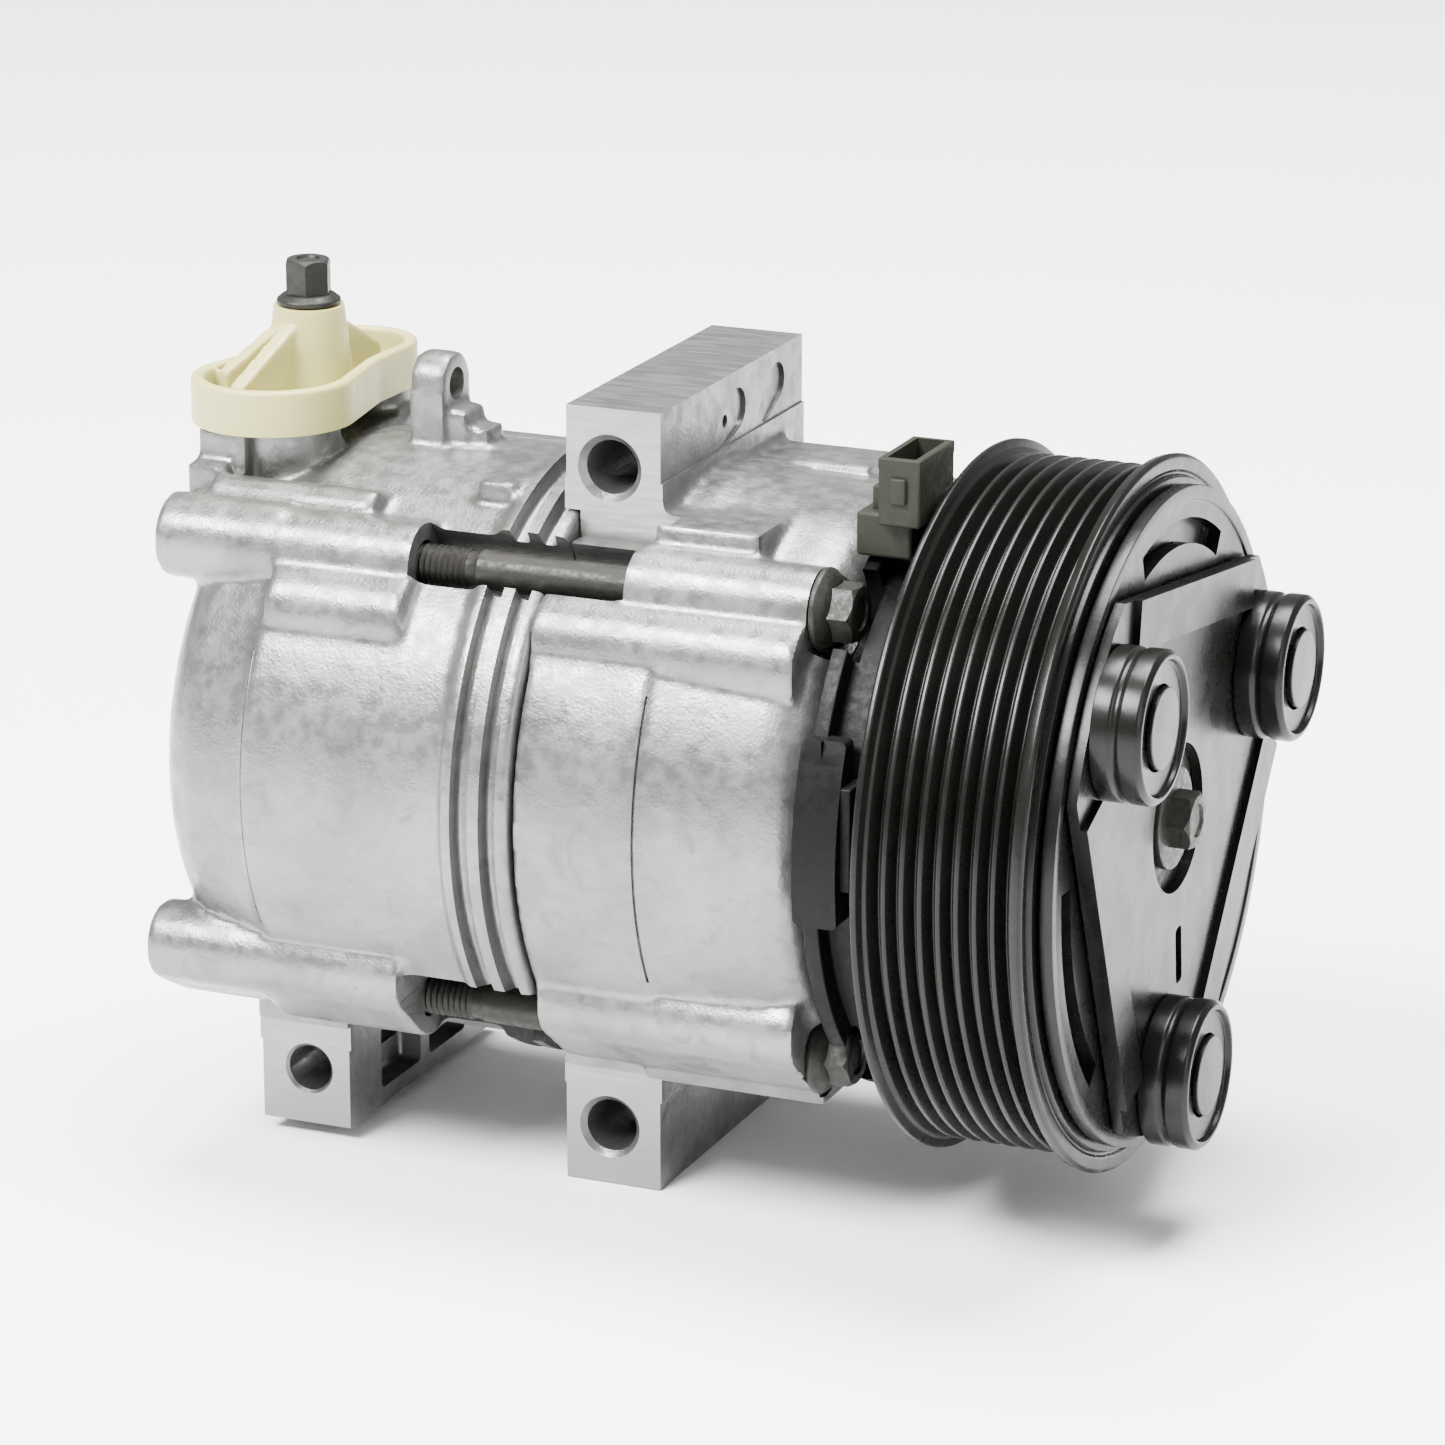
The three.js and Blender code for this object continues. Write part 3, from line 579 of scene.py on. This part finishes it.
def front_casting(sizes):
    spare = CAST_SPARE
    start = SEAM_X
    shell = lathe(rounded([
        (start, 0), (start, 59.5), (109.4, 59.5), (110.2, 58.6), (133.5, 57.4), (137.5, 56.2), (140.5, 53.8),
        (142.4, 50.4), (FRONT_FACE_X, 47), (FRONT_FACE_X, 21.5),
        (152, 21.5), (152, 20), (187.4, 20), (188, 19.4), (188, 0),
    ], 0.6), BARREL_SIDES)
    solids = [shell]
    for y, z in BOLT_PLACES.values():
        if z > 0:
            solids.append(rod(8, UPPER_BOSS_X - spare, BOLT_SEAT_X + 1, (y, z)))
            solids.append(rod(9.6, UPPER_BOSS_X - spare, BOLT_SEAT_X - 4, (y * 0.9, z * 0.9)))
            solids.append(skirt(y, z, SEAM_X - 1, BOLT_SEAT_X))
        else:
            solids.append(lower_boss(y, z, 9.6, LOWER_BOSS_X - 0.4, BOLT_SEAT_X + 0.6))
            low, high = sorted((y, math.copysign(20, y)))
            solids.append(block((UPPER_BOSS_X, low, -55), (BOLT_SEAT_X + 1, high, -44)))
    solids += [
        block((81.6, LUG_NEAR_Y - spare, 50), (102, LUG_FAR_Y + spare, 76.4)),
        block((80.6, LUG_NEAR_Y - spare, -82), (101.5, LUG_FAR_Y + spare, -50)),
        block((103, -33, 48), (124.5, -15, 56)),
        block((100, 18, 48), (126, 33, 57)),
    ]
    casting = cast(solids, sizes.casting_grid / MM, sizes.casting_smoothing)
    casting = cut(
        casting,
        rod(61.2, 70, start, sides=160),
        rod(80, 70, 79, sides=64),
        *crease(109.8, 58.4),
        *bolt_channels(start - 3, UPPER_BOSS_X, LOWER_BOSS_X),
        *[rod(4.4, 76, BOLT_SEAT_X + 2, place, sides=32) for place in BOLT_PLACES.values()],
        *[rod(9.4, BOLT_SEAT_X, 152, place, sides=48) for place in BOLT_PLACES.values()],
        rod(BORE_R, 70, 119.9, sides=128),
        rod(13, 118, 150, sides=48),
        rod(15, 149, 190, sides=48),
        block((76, LUG_NEAR_Y - 6, 50), (106, LUG_NEAR_Y, 90)),
        block((76, LUG_NEAR_Y - 6, -95), (104, LUG_NEAR_Y, -57)),
        block((76, LUG_FAR_Y, 50), (110, LUG_FAR_Y + 6, 90)),
        block((76, LUG_FAR_Y, -95), (110, LUG_FAR_Y + 6, -50)),
        block((76, -60, 75.7), (110, 60, 90)),
        block((76, -60, -95), (110, 60, -81.2)),
        block((76, -60, 61.4), (82, 60, 90)),
        block((101.5, -60, 62), (112, 60, 90)),
        block((76, -60, -95), (81, 60, -61.4)),
        block((101, -60, -95), (112, 60, -63)),
        hull(rod(3.2, 101, 104, (4, 65)), rod(4.2, 100.7, 104, (11, 68))),
        hull(rod(2.8, 101, 104, (25, 65)), rod(3.8, 100.7, 104, (31, 69))),
        rod(1.3, 96, 104, (6.5, 66.5), sides=24),
        *mounting_bore(91, 64, 5.3, 1.3),
        *mounting_bore(90.2, -69.5, 5.3, 1.1),
        block((141.9, -64, -10.4), (156, -49.6, 25.4)),
    )
    mark_faces(casting, "Y", (LUG_NEAR_Y, LUG_FAR_Y))
    mark_faces(casting, "Z", (75.7, -81.2))
    return casting


# ---- bolts ----
def hex_head(corner, start, end, axis_at=(0, 0), turned=0.0):
    """A hexagon head whose outer corners are chamfered."""
    flat = corner * 0.9
    hexagon = rod(corner, start, end, (0, 0), sides=6)
    turn(hexagon, turned)
    cone = lathe(rounded([
        (start - 1, 0), (start - 1, corner + 2), (end - 0.9, corner + 2), (end - 0.9, corner + 0.05),
        (end, flat - 0.3), (end, 0),
    ], 0.15), 48)
    head = common(hexagon, cone)
    dish = lathe([(end - 0.5, 0), (end - 0.5, flat - 2.2), (end + 1, flat - 1.4), (end + 1, 0)], 48)
    head = cut(head, dish)
    bmesh.ops.translate(head, verts=head.verts, vec=(0, *axis_at))
    return head


def threaded(radius, depth, start, end, pitch):
    """The outline of a shank that carries a fine thread."""
    outline = []
    count = int((end - start) / pitch)
    for i in range(count):
        x = start + i * pitch
        outline += [(x, radius - depth), (x + 0.5 * pitch, radius)]
    outline.append((start + count * pitch, radius - depth))
    return outline


def through_bolt(y, z):
    seat = BOLT_SEAT_X + SEAM_GAP
    thread = threaded(3.85, 0.55, 16, 66, 1.25)
    shank = [(14, 0), (14, 2.6), *thread, (68, 3.5), (68.5, 3.85), (seat + 1, 3.85), (seat + 1, 0)]
    body = lathe(shank, 24)
    flange = lathe(rounded([
        (seat, 0), (seat, 8), (seat + 1, 8), (seat + 2.4, 6.6), (seat + 3.2, 5.4), (seat + 3.2, 0),
    ], 0.3), 64)
    head = hex_head(5.9, seat + 2.6, seat + 7.6)
    bolt = join(body, flange, head)
    bmesh.ops.translate(bolt, verts=bolt.verts, vec=(0, y, z))
    return bolt


# ---- coil and pulley ----
def coil():
    back = FRONT_FACE_X + SEAM_GAP
    plate = 3.2
    can = lathe(rounded([
        (back, 22), (back, 58), (back + plate, 58), (back + plate, 53.4), (172, 53.4), (172, 36.6),
        (back + plate, 36.6), (back + plate, 22),
    ], 0.5, closed=True), 128, True)
    blank = block((142.3, -62, -10), (151, -50, 25), 1.2)
    lead = common(blank, rod(60, 140, 153, sides=160))
    strip = block((150.4, -57.5, -3), (153, -50, 17), 0.4)
    bridge = block((back, -56, -10), (back + plate, -40, 25))
    scallops = [rod(9.4, back - 1, back + plate + 1, place) for place in BOLT_PLACES.values()]
    return cut(join(can, lead, bridge, strip), *scallops)


def connector():
    shell = block((147.4, -31, 60), (155.8, -13, 73), 0.7)
    stem = block((141.9, -28, 53), (153, -15, 61.5), 0.8)
    lip = block((147.4, -31, 70.6), (155.8, -13, 73), 0.3)
    latch = block((150, -31.9, 64.5), (153.2, -30.5, 69.5), 0.4)
    clip = block((144, -25, 58), (148.5, -19, 66), 0.5)
    body = join(shell, stem, lip, latch, clip)
    pins = [rod(0.7, 61, 68, (151.6, y), "Z", 16) for y in (-25, -19)]
    socket = block((148.8, -29.6, 62.4), (154.4, -14.4, 75), 0.4)
    return join(cut(body, socket, rod(58.5, 138, 158, sides=128)), *pins)


def pulley(sizes):
    tip = 66.2
    valley = 63.2
    pitch = sizes.groove_pitch / MM
    rim = sizes.flange_radius / MM
    outline = [
        (158, 31.3), (158, 34.8), (175.5, 34.8), (175.5, 54.2), (157, 54.2), (157, rim - 0.8),
        (157.4, rim), (158.4, rim), (159, tip + 0.6),
    ]
    for i in range(sizes.groove_count):
        x = 161 + i * pitch
        outline += [(x - 1.35, tip), (x - 0.22, valley), (x + 0.22, valley), (x + 1.35, tip)]
    outline += [
        (187.8, tip + 0.2), (188.3, rim), (190, rim + 0.4), (190.6, rim - 0.4), (190.6, 65.9),
        (190, 65.4), (190, 64.9), (191.2, 64.6), (191.2, 36), (190.5, 34.8), (190.5, 31.3),
    ]
    return lathe(rounded(outline, 0.28, 3, closed=True), 160, True)


# ---- clutch ----
def polar(radius, angle):
    return (radius * math.cos(angle), radius * math.sin(angle))


def armature():
    front = ARMATURE_X + 3
    outline = [
        (ARMATURE_X, 30), (ARMATURE_X, 61.8), (ARMATURE_X + 0.5, 63.4), (front, 63.4), (front, 60.9),
        (front - 0.5, 60.4), (front - 0.5, 30),
    ]
    plate = lathe(rounded(outline, 0.3, closed=True), 128, True)
    slots = [arc_slot(a, 0.42, 52.2, 57.2, ARMATURE_X - 1, front + 1) for a in EDGE_ANGLES]
    holes = [rod(4.6, ARMATURE_X - 1, front + 1, polar(CUP_RING_R, a)) for a in CUP_ANGLES]
    return cut(plate, *slots, *holes)


def edge_bar(angle, inner, outer, half, start, end):
    return turn(block((start, inner, -half), (end, outer, half)), angle)


def hub_plate():
    front = HUB_X + 2
    top = front + 1.3
    plate = rod(60.9, HUB_X, top, sides=128)
    trims = [edge_bar(a, 46, 90, 90, HUB_X - 1, top + 1) for a in EDGE_ANGLES]
    web = rod(90, front, top + 1, sides=48)
    recess = cut(web, *[edge_bar(a, 36.5, 60, 34, HUB_X, top + 2) for a in EDGE_ANGLES])
    seats = [rod(15, front, top + 1, polar(CUP_RING_R, a), sides=64) for a in CUP_ANGLES]
    holes = [rod(5.4, HUB_X - 1, top + 1, polar(CUP_RING_R, a)) for a in CUP_ANGLES]
    middle = rod(14.5, HUB_X - 1, top + 1, sides=64)
    window = block((HUB_X - 1, -2.2, -34), (top + 1, 1.2, -22.5), 1)
    turn(window, 0.1)
    plate = flat_ngons(cut(plate, *trims, recess, *seats, *holes, middle, window))
    return soften_edges(plate, 0.35, 2, 40)


def cup(at):
    start = HUB_X + 2 + SEAM_GAP
    radius = 14.5
    wall = 1.5
    floor = CUP_END_X - CUP_DISH
    outline = [
        (start, radius - wall), (start, radius), (start + 3.4, radius),
        (start + 4, radius - 0.5), (start + 4.8, radius - 0.5), (start + 5.4, radius),
        (CUP_END_X - 0.9, radius), (CUP_END_X, radius - 0.9), (CUP_END_X, radius - 1.7),
        (floor, radius - 2.1), (floor, 8.1), (floor - 1, 8.1), (floor - 1, radius - wall - 1.2),
    ]
    return lathe(rounded(outline, 0.3, closed=True), 64, True, at)


def rivet(at):
    head = CUP_END_X - CUP_DISH + 0.1
    return lathe(rounded([
        (ARMATURE_X + SEAM_GAP, 0), (ARMATURE_X + SEAM_GAP, 4.2), (head, 4.2), (head, 7.7),
        (CUP_END_X - 0.1, 7.7), (CUP_END_X, 7.3), (CUP_END_X, 0),
    ], 0.2), 48, False, at)


def hub_boss():
    back = HUB_X - SEAM_GAP
    return lathe(rounded([
        (178, 8.3), (178, 12.5), (ARMATURE_X, 12.5), (ARMATURE_X, 21.5), (back, 21.5), (back, 8.3),
    ], 0.5, closed=True), 64, True)


def hub_bolt():
    washer = lathe(rounded([(HUB_X, 0), (HUB_X, 10), (HUB_X + 1.6, 10), (HUB_X + 1.6, 0)], 0.35), 64)
    return join(rod(3, 182, HUB_X + 1), washer, hex_head(5.8, HUB_X + 1.2, HUB_X + 6))


# ---- shipping cap ----
def capsule(near_radius, middle_radius, far_radius, low, high):
    near, middle, far = (11.7, -10.5), (12.8, 8), (13.5, 22)
    first = hull(rod(near_radius, low, high, near, "Z", 64), rod(middle_radius, low, high, middle, "Z", 64))
    second = hull(rod(middle_radius, low, high, middle, "Z", 64), rod(far_radius, low, high, far, "Z", 64))
    return join(first, second)


def cap_fin(angle, length, rim):
    thickness = 3.4
    base, top = CAP_Z + 1, CAP_TOP_Z - 2.2
    outline = [(0, base), (length, base), (length, rim - 0.8), (5.5, top), (0, top)]
    shape = bmesh.new()
    face = shape.faces.new([shape.verts.new((x, -thickness / 2, z)) for x, z in outline])
    extruded = bmesh.ops.extrude_face_region(shape, geom=[face])
    moved = [g for g in extruded["geom"] if isinstance(g, bmesh.types.BMVert)]
    bmesh.ops.translate(shape, verts=moved, vec=(0, thickness, 0))
    bmesh.ops.recalc_face_normals(shape, faces=shape.faces)
    turn(shape, angle, "Z")
    bmesh.ops.translate(shape, verts=shape.verts, vec=(*CAP_BOLT, 0))
    return shape


def shipping_cap(sizes):
    rim = CAP_Z + 9
    wall = 2.7
    radii = (16.3, 12.5, 12.4)
    dish = cut(
        capsule(*radii, CAP_Z - 1, rim),
        capsule(*[r - wall for r in radii], CAP_Z + 3, rim + 1),
    )
    boss = rod(9.2, CAP_Z, CAP_TOP_Z + 0.6, CAP_BOLT, "Z", 64, 7)
    fins = [cap_fin(a, r, rim) for a, r in ((-1.69, 26), (-2.2, 19.5), (1.32, 20))]
    body = cast([dish, boss, *fins], sizes.moulding_grid / MM, 6)
    return cut(
        body,
        block((-20, -60, CAP_Z - 6), (60, 60, CAP_Z)),
        block((0, -10, CAP_TOP_Z), (30, 20, CAP_TOP_Z + 5)),
        rod(4, CAP_Z - 3, CAP_TOP_Z + 3, CAP_BOLT, "Z"),
    )


def cap_bolt():
    seat = CAP_TOP_Z + SEAM_GAP
    outline = rounded([(seat, 0), (seat, 6.4), (seat + 0.9, 6.4), (seat + 2, 5), (seat + 2, 0)], 0.3)
    flange = lathe(outline, 64)
    thread = threaded(3, 0.4, 49, 80, 1)
    shank = lathe([(48, 0), (48, 2.4), *thread, (81, 3), (seat + 1, 3), (seat + 1, 0)], 24)
    bolt = join(shank, flange, hex_head(4.8, seat + 1.6, seat + 9, turned=0.35))
    bmesh.ops.rotate(bolt, verts=bolt.verts, matrix=AXES["X"].inverted())
    bmesh.ops.translate(bolt, verts=bolt.verts, vec=(*CAP_BOLT, 0))
    return bolt


# ---- stage ----
# The lens is in millimetres, and the target and the distance are in metres.
CAMERA_LENS = 146.6
CAMERA_TARGET = (0.10975, -0.01577, 0.01291)
CAMERA_AZIMUTH = math.radians(23.07)
CAMERA_ELEVATION = math.radians(17.25)
CAMERA_DISTANCE = 1.1318


def area_light(name, place, target, size, power):
    data = bpy.data.lights.new(name, "AREA")
    data.shape = "RECTANGLE"
    data.size, data.size_y = size
    data.energy = power
    light = bpy.data.objects.new(name, data)
    light.location = place
    light.rotation_euler = (Vector(target) - Vector(place)).to_track_quat("-Z", "Y").to_euler()
    bpy.context.scene.collection.objects.link(light)


def build_stage(stage):
    camera = bpy.data.objects.new("camera", bpy.data.cameras.new("camera"))
    camera.data.lens = CAMERA_LENS
    camera.data.sensor_width = 36
    level = math.cos(CAMERA_ELEVATION)
    away = Vector((
        math.sin(CAMERA_AZIMUTH) * level,
        -math.cos(CAMERA_AZIMUTH) * level,
        math.sin(CAMERA_ELEVATION),
    ))
    camera.location = Vector(CAMERA_TARGET) + away * CAMERA_DISTANCE
    camera.rotation_euler = (-away).to_track_quat("-Z", "Y").to_euler()
    camera.data.clip_end = 50
    bpy.context.scene.collection.objects.link(camera)
    bpy.context.scene.camera = camera

    shape = bmesh.new()
    bmesh.ops.create_grid(shape, x_segments=1, y_segments=1, size=6)
    bmesh.ops.translate(shape, verts=shape.verts, vec=(0, 0, cad_box[0][2] - 0.0002))
    mesh = bpy.data.meshes.new("floor")
    shape.to_mesh(mesh)
    shape.free()
    floor = bpy.data.objects.new("floor", mesh)
    bpy.context.scene.collection.objects.link(floor)
    paper = Finish("pale floor", Roughness=0.9)
    mottle = paper.noise(3)
    paper.drive("Base Color", paper.blend(mottle, stage.floor_color, shaded(stage.floor_color, 0.985)))
    mesh.materials.append(paper.material)

    world = bpy.data.worlds.new("studio")
    world.use_nodes = True
    background = world.node_tree.nodes["Background"]
    background.inputs["Color"].default_value = (1, 1, 1, 1)
    background.inputs["Strength"].default_value = stage.ambient
    bpy.context.scene.world = world
    middle = (0.1, 0, 0)
    area_light("key", (-0.5, -1.2, 1.5), middle, (1.0, 0.7), stage.key_power)
    area_light("top", (0.2, 0.3, 1.8), middle, (1.4, 0.9), stage.key_power * 0.9)
    area_light("side", (1.7, -0.7, 0.8), middle, (0.5, 1.2), stage.key_power * 0.08)


# ---- settings ----
def length_property(name, description, default):
    return FloatProperty(name=name, description=description, default=default, unit="LENGTH")


class CompressorCastings(bpy.types.PropertyGroup):
    casting_grid: length_property(
        "Casting grid", "Spacing of the mesh that the castings are melted into", 0.9 * MM,
    )
    casting_smoothing: IntProperty(
        name="Casting smoothing", description="Rounds of smoothing on the cast skins", default=7, min=0,
    )
    moulding_grid: length_property(
        "Moulding grid", "Spacing of the mesh that the cap is melted into", 0.5 * MM,
    )


class CompressorPulley(bpy.types.PropertyGroup):
    flange_radius: length_property("Flange radius", "Outer radius of the pulley's flanges", 68.6 * MM)
    groove_pitch: length_property("Groove pitch", "Distance between belt grooves", 3.56 * MM)
    groove_count: IntProperty(name="Grooves", description="Number of belt grooves", default=8, min=1)


def color_property(name, description, default):
    return FloatVectorProperty(
        name=name, description=description, default=default, subtype="COLOR", min=0, max=1,
    )


class CompressorFinishes(bpy.types.PropertyGroup):
    casting: color_property("Casting", "Colour of the cast aluminium", (0.19, 0.193, 0.186))
    machined: color_property("Machined faces", "Colour of the machined aluminium", (0.24, 0.243, 0.233))
    enamel: color_property("Enamel", "Colour of the gloss black enamel", (0.0035, 0.0035, 0.003))
    bolt: color_property("Bolts", "Colour of the black phosphate", (0.012, 0.0113, 0.0095))
    coil: color_property("Coil", "Colour of the coil's moulding", (0.0025, 0.0025, 0.0025))
    connector: color_property("Connector", "Colour of the connector's moulding", (0.016, 0.0168, 0.0125))
    nylon: color_property("Cap", "Colour of the shipping cap's nylon", (0.41, 0.385, 0.15))
    rubber: color_property("Rubber", "Colour of the damper and seal rubber", (0.014, 0.014, 0.013))
    steel: color_property("Steel", "Colour of the ground steel", (0.5, 0.5, 0.49))


class CompressorStage(bpy.types.PropertyGroup):
    floor_color: color_property("Floor", "Colour of the studio floor", (0.93, 0.93, 0.93))
    ambient: FloatProperty(
        name="Ambient", description="Strength of the light from all around", default=0.6, min=0,
    )
    key_power: FloatProperty(
        name="Key light", description="Power of the main soft light", default=190.0, unit="POWER",
    )


# ---- operators ----
class COMPRESSOR_OT_stage(bpy.types.Operator):
    """Make the camera, the floor and the soft studio lights"""
    bl_idname = "compressor.stage"
    bl_label = "Stage"

    def execute(self, context):
        build_stage(context.scene.compressor_stage)
        return {"FINISHED"}


class COMPRESSOR_OT_castings(bpy.types.Operator):
    """Make the rear and front castings with their lugs, bosses and ports"""
    bl_idname = "compressor.castings"
    bl_label = "Castings"

    def execute(self, context):
        looks = finishes(context.scene.compressor_finishes)
        skins = [looks["cast_aluminium"], looks["machined_aluminium"]]
        sizes = context.scene.compressor_castings
        finish(rear_casting(sizes), "rear_casting", "housing", ["rear_housing"], "cast_aluminium", skins)
        finish(front_casting(sizes), "front_casting", "housing", ["front_housing"], "cast_aluminium", skins)
        return {"FINISHED"}


class COMPRESSOR_OT_bolts(bpy.types.Operator):
    """Make the four threaded through bolts"""
    bl_idname = "compressor.bolts"
    bl_label = "Through bolts"

    def execute(self, context):
        skin = [finishes(context.scene.compressor_finishes)["black_steel"]]
        for name, (y, z) in BOLT_PLACES.items():
            bolt = through_bolt(y, z)
            finish(bolt, f"long_bolt_{name}", "housing", [f"through_bolt_{name}"], "black_steel", skin)
        return {"FINISHED"}


class COMPRESSOR_OT_coil(bpy.types.Operator):
    """Make the clutch coil and its connector socket"""
    bl_idname = "compressor.coil"
    bl_label = "Coil and connector"

    def execute(self, context):
        looks = finishes(context.scene.compressor_finishes)
        black = [looks["coil_black"]]
        grey = [looks["olive_grey"]]
        finish(coil(), "coil_can", "housing", ["clutch_coil"], "coil_black", black)
        finish(connector(), "coil_socket", "housing", ["coil_connector"], "olive_grey", grey)
        return {"FINISHED"}


class COMPRESSOR_OT_pulley(bpy.types.Operator):
    """Make the grooved belt pulley"""
    bl_idname = "compressor.pulley"
    bl_label = "Pulley"

    def execute(self, context):
        skin = [finishes(context.scene.compressor_finishes)["pulley_black"]]
        rotor = pulley(context.scene.compressor_pulley)
        finish(rotor, "belt_pulley", "pulley_rotor", ["pulley"], "gloss_black", skin)
        return {"FINISHED"}


class COMPRESSOR_OT_clutch(bpy.types.Operator):
    """Make the armature, the hub plate and the three dampers"""
    bl_idname = "compressor.clutch"
    bl_label = "Clutch"

    def execute(self, context):
        looks = finishes(context.scene.compressor_finishes)
        gloss = [looks["gloss_black"]]
        steel = [looks["black_steel"]]
        rubber = [looks["rubber"]]
        hub = "shaft_and_hub"
        finish(armature(), "armature_disc", "armature", ["armature_plate"], "gloss_black", gloss)
        finish(hub_plate(), "hub_spider", hub, ["hub_plate"], "gloss_black", gloss)
        finish(hub_boss(), "hub_core", hub, ["hub_boss"], "black_steel", steel)
        finish(hub_bolt(), "centre_bolt", hub, ["hub_bolt"], "black_steel", steel)
        for number, angle in enumerate(CUP_ANGLES, 1):
            at = polar(CUP_RING_R, angle)
            start = HUB_X + 2 + 2 * SEAM_GAP
            core = ring(4.6, 12.6, start, CUP_END_X - 3.6, 0.6, 48, at)
            pin = rivet(at)
            finish(cup(at), f"cup_{number}", hub, [f"damper_cup_{number}"], "gloss_black", gloss)
            finish(core, f"cup_rubber_{number}", hub, [f"damper_rubber_{number}"], "rubber", rubber)
            finish(pin, f"cup_rivet_{number}", "armature", [f"damper_rivet_{number}"], "gloss_black", gloss)
        return {"FINISHED"}


class COMPRESSOR_OT_cap(bpy.types.Operator):
    """Make the shipping cap and the bolt that holds it"""
    bl_idname = "compressor.cap"
    bl_label = "Shipping cap"

    def execute(self, context):
        looks = finishes(context.scene.compressor_finishes)
        body = shipping_cap(context.scene.compressor_castings)
        finish(body, "port_cap", "housing", ["shipping_cap"], "nylon", [looks["nylon"]], 60)
        finish(cap_bolt(), "port_cap_bolt", "housing", ["cap_bolt"], "black_steel", [looks["black_steel"]])
        return {"FINISHED"}


class COMPRESSOR_OT_works(bpy.types.Operator):
    """Give the pump, the bearings and the seals that stay as they are their finishes"""
    bl_idname = "compressor.works"
    bl_label = "Inner works"

    def execute(self, context):
        looks = finishes(context.scene.compressor_finishes)
        slots = {part["node"]: part["material_slot"] for part in frame["record"]["subparts"]}
        for name, node in frame["nodes"].items():
            node.data.materials.clear()
            node.data.materials.append(looks[slots[name]])
        return {"FINISHED"}


BUILD_ORDER = ("stage", "works", "castings", "bolts", "coil", "pulley", "clutch", "cap")


class COMPRESSOR_PT_panel(bpy.types.Panel):
    bl_idname = "COMPRESSOR_PT_panel"
    bl_label = "Compressor"
    bl_space_type = "VIEW_3D"
    bl_region_type = "UI"
    bl_category = "Compressor"

    def draw(self, context):
        for group in ("castings", "pulley", "finishes", "stage"):
            settings = getattr(context.scene, f"compressor_{group}")
            column = self.layout.column()
            for key in settings.__annotations__:
                column.prop(settings, key)
        for step in BUILD_ORDER:
            self.layout.operator(f"compressor.{step}")


GROUPS = {
    "compressor_castings": CompressorCastings,
    "compressor_pulley": CompressorPulley,
    "compressor_finishes": CompressorFinishes,
    "compressor_stage": CompressorStage,
}
CLASSES = (
    *GROUPS.values(),
    COMPRESSOR_OT_stage,
    COMPRESSOR_OT_castings,
    COMPRESSOR_OT_bolts,
    COMPRESSOR_OT_coil,
    COMPRESSOR_OT_pulley,
    COMPRESSOR_OT_clutch,
    COMPRESSOR_OT_cap,
    COMPRESSOR_OT_works,
    COMPRESSOR_PT_panel,
)


def register():
    for cls in CLASSES:
        bpy.utils.register_class(cls)
    for name, group in GROUPS.items():
        setattr(bpy.types.Scene, name, PointerProperty(type=group))


def unregister():
    for name in GROUPS:
        delattr(bpy.types.Scene, name)
    for cls in reversed(CLASSES):
        bpy.utils.unregister_class(cls)


def corners(box):
    return [list(corner) for corner in box]


def main():
    register()
    for step in BUILD_ORDER:
        getattr(bpy.ops.compressor, step)()


if __name__ == "__main__":
    main()
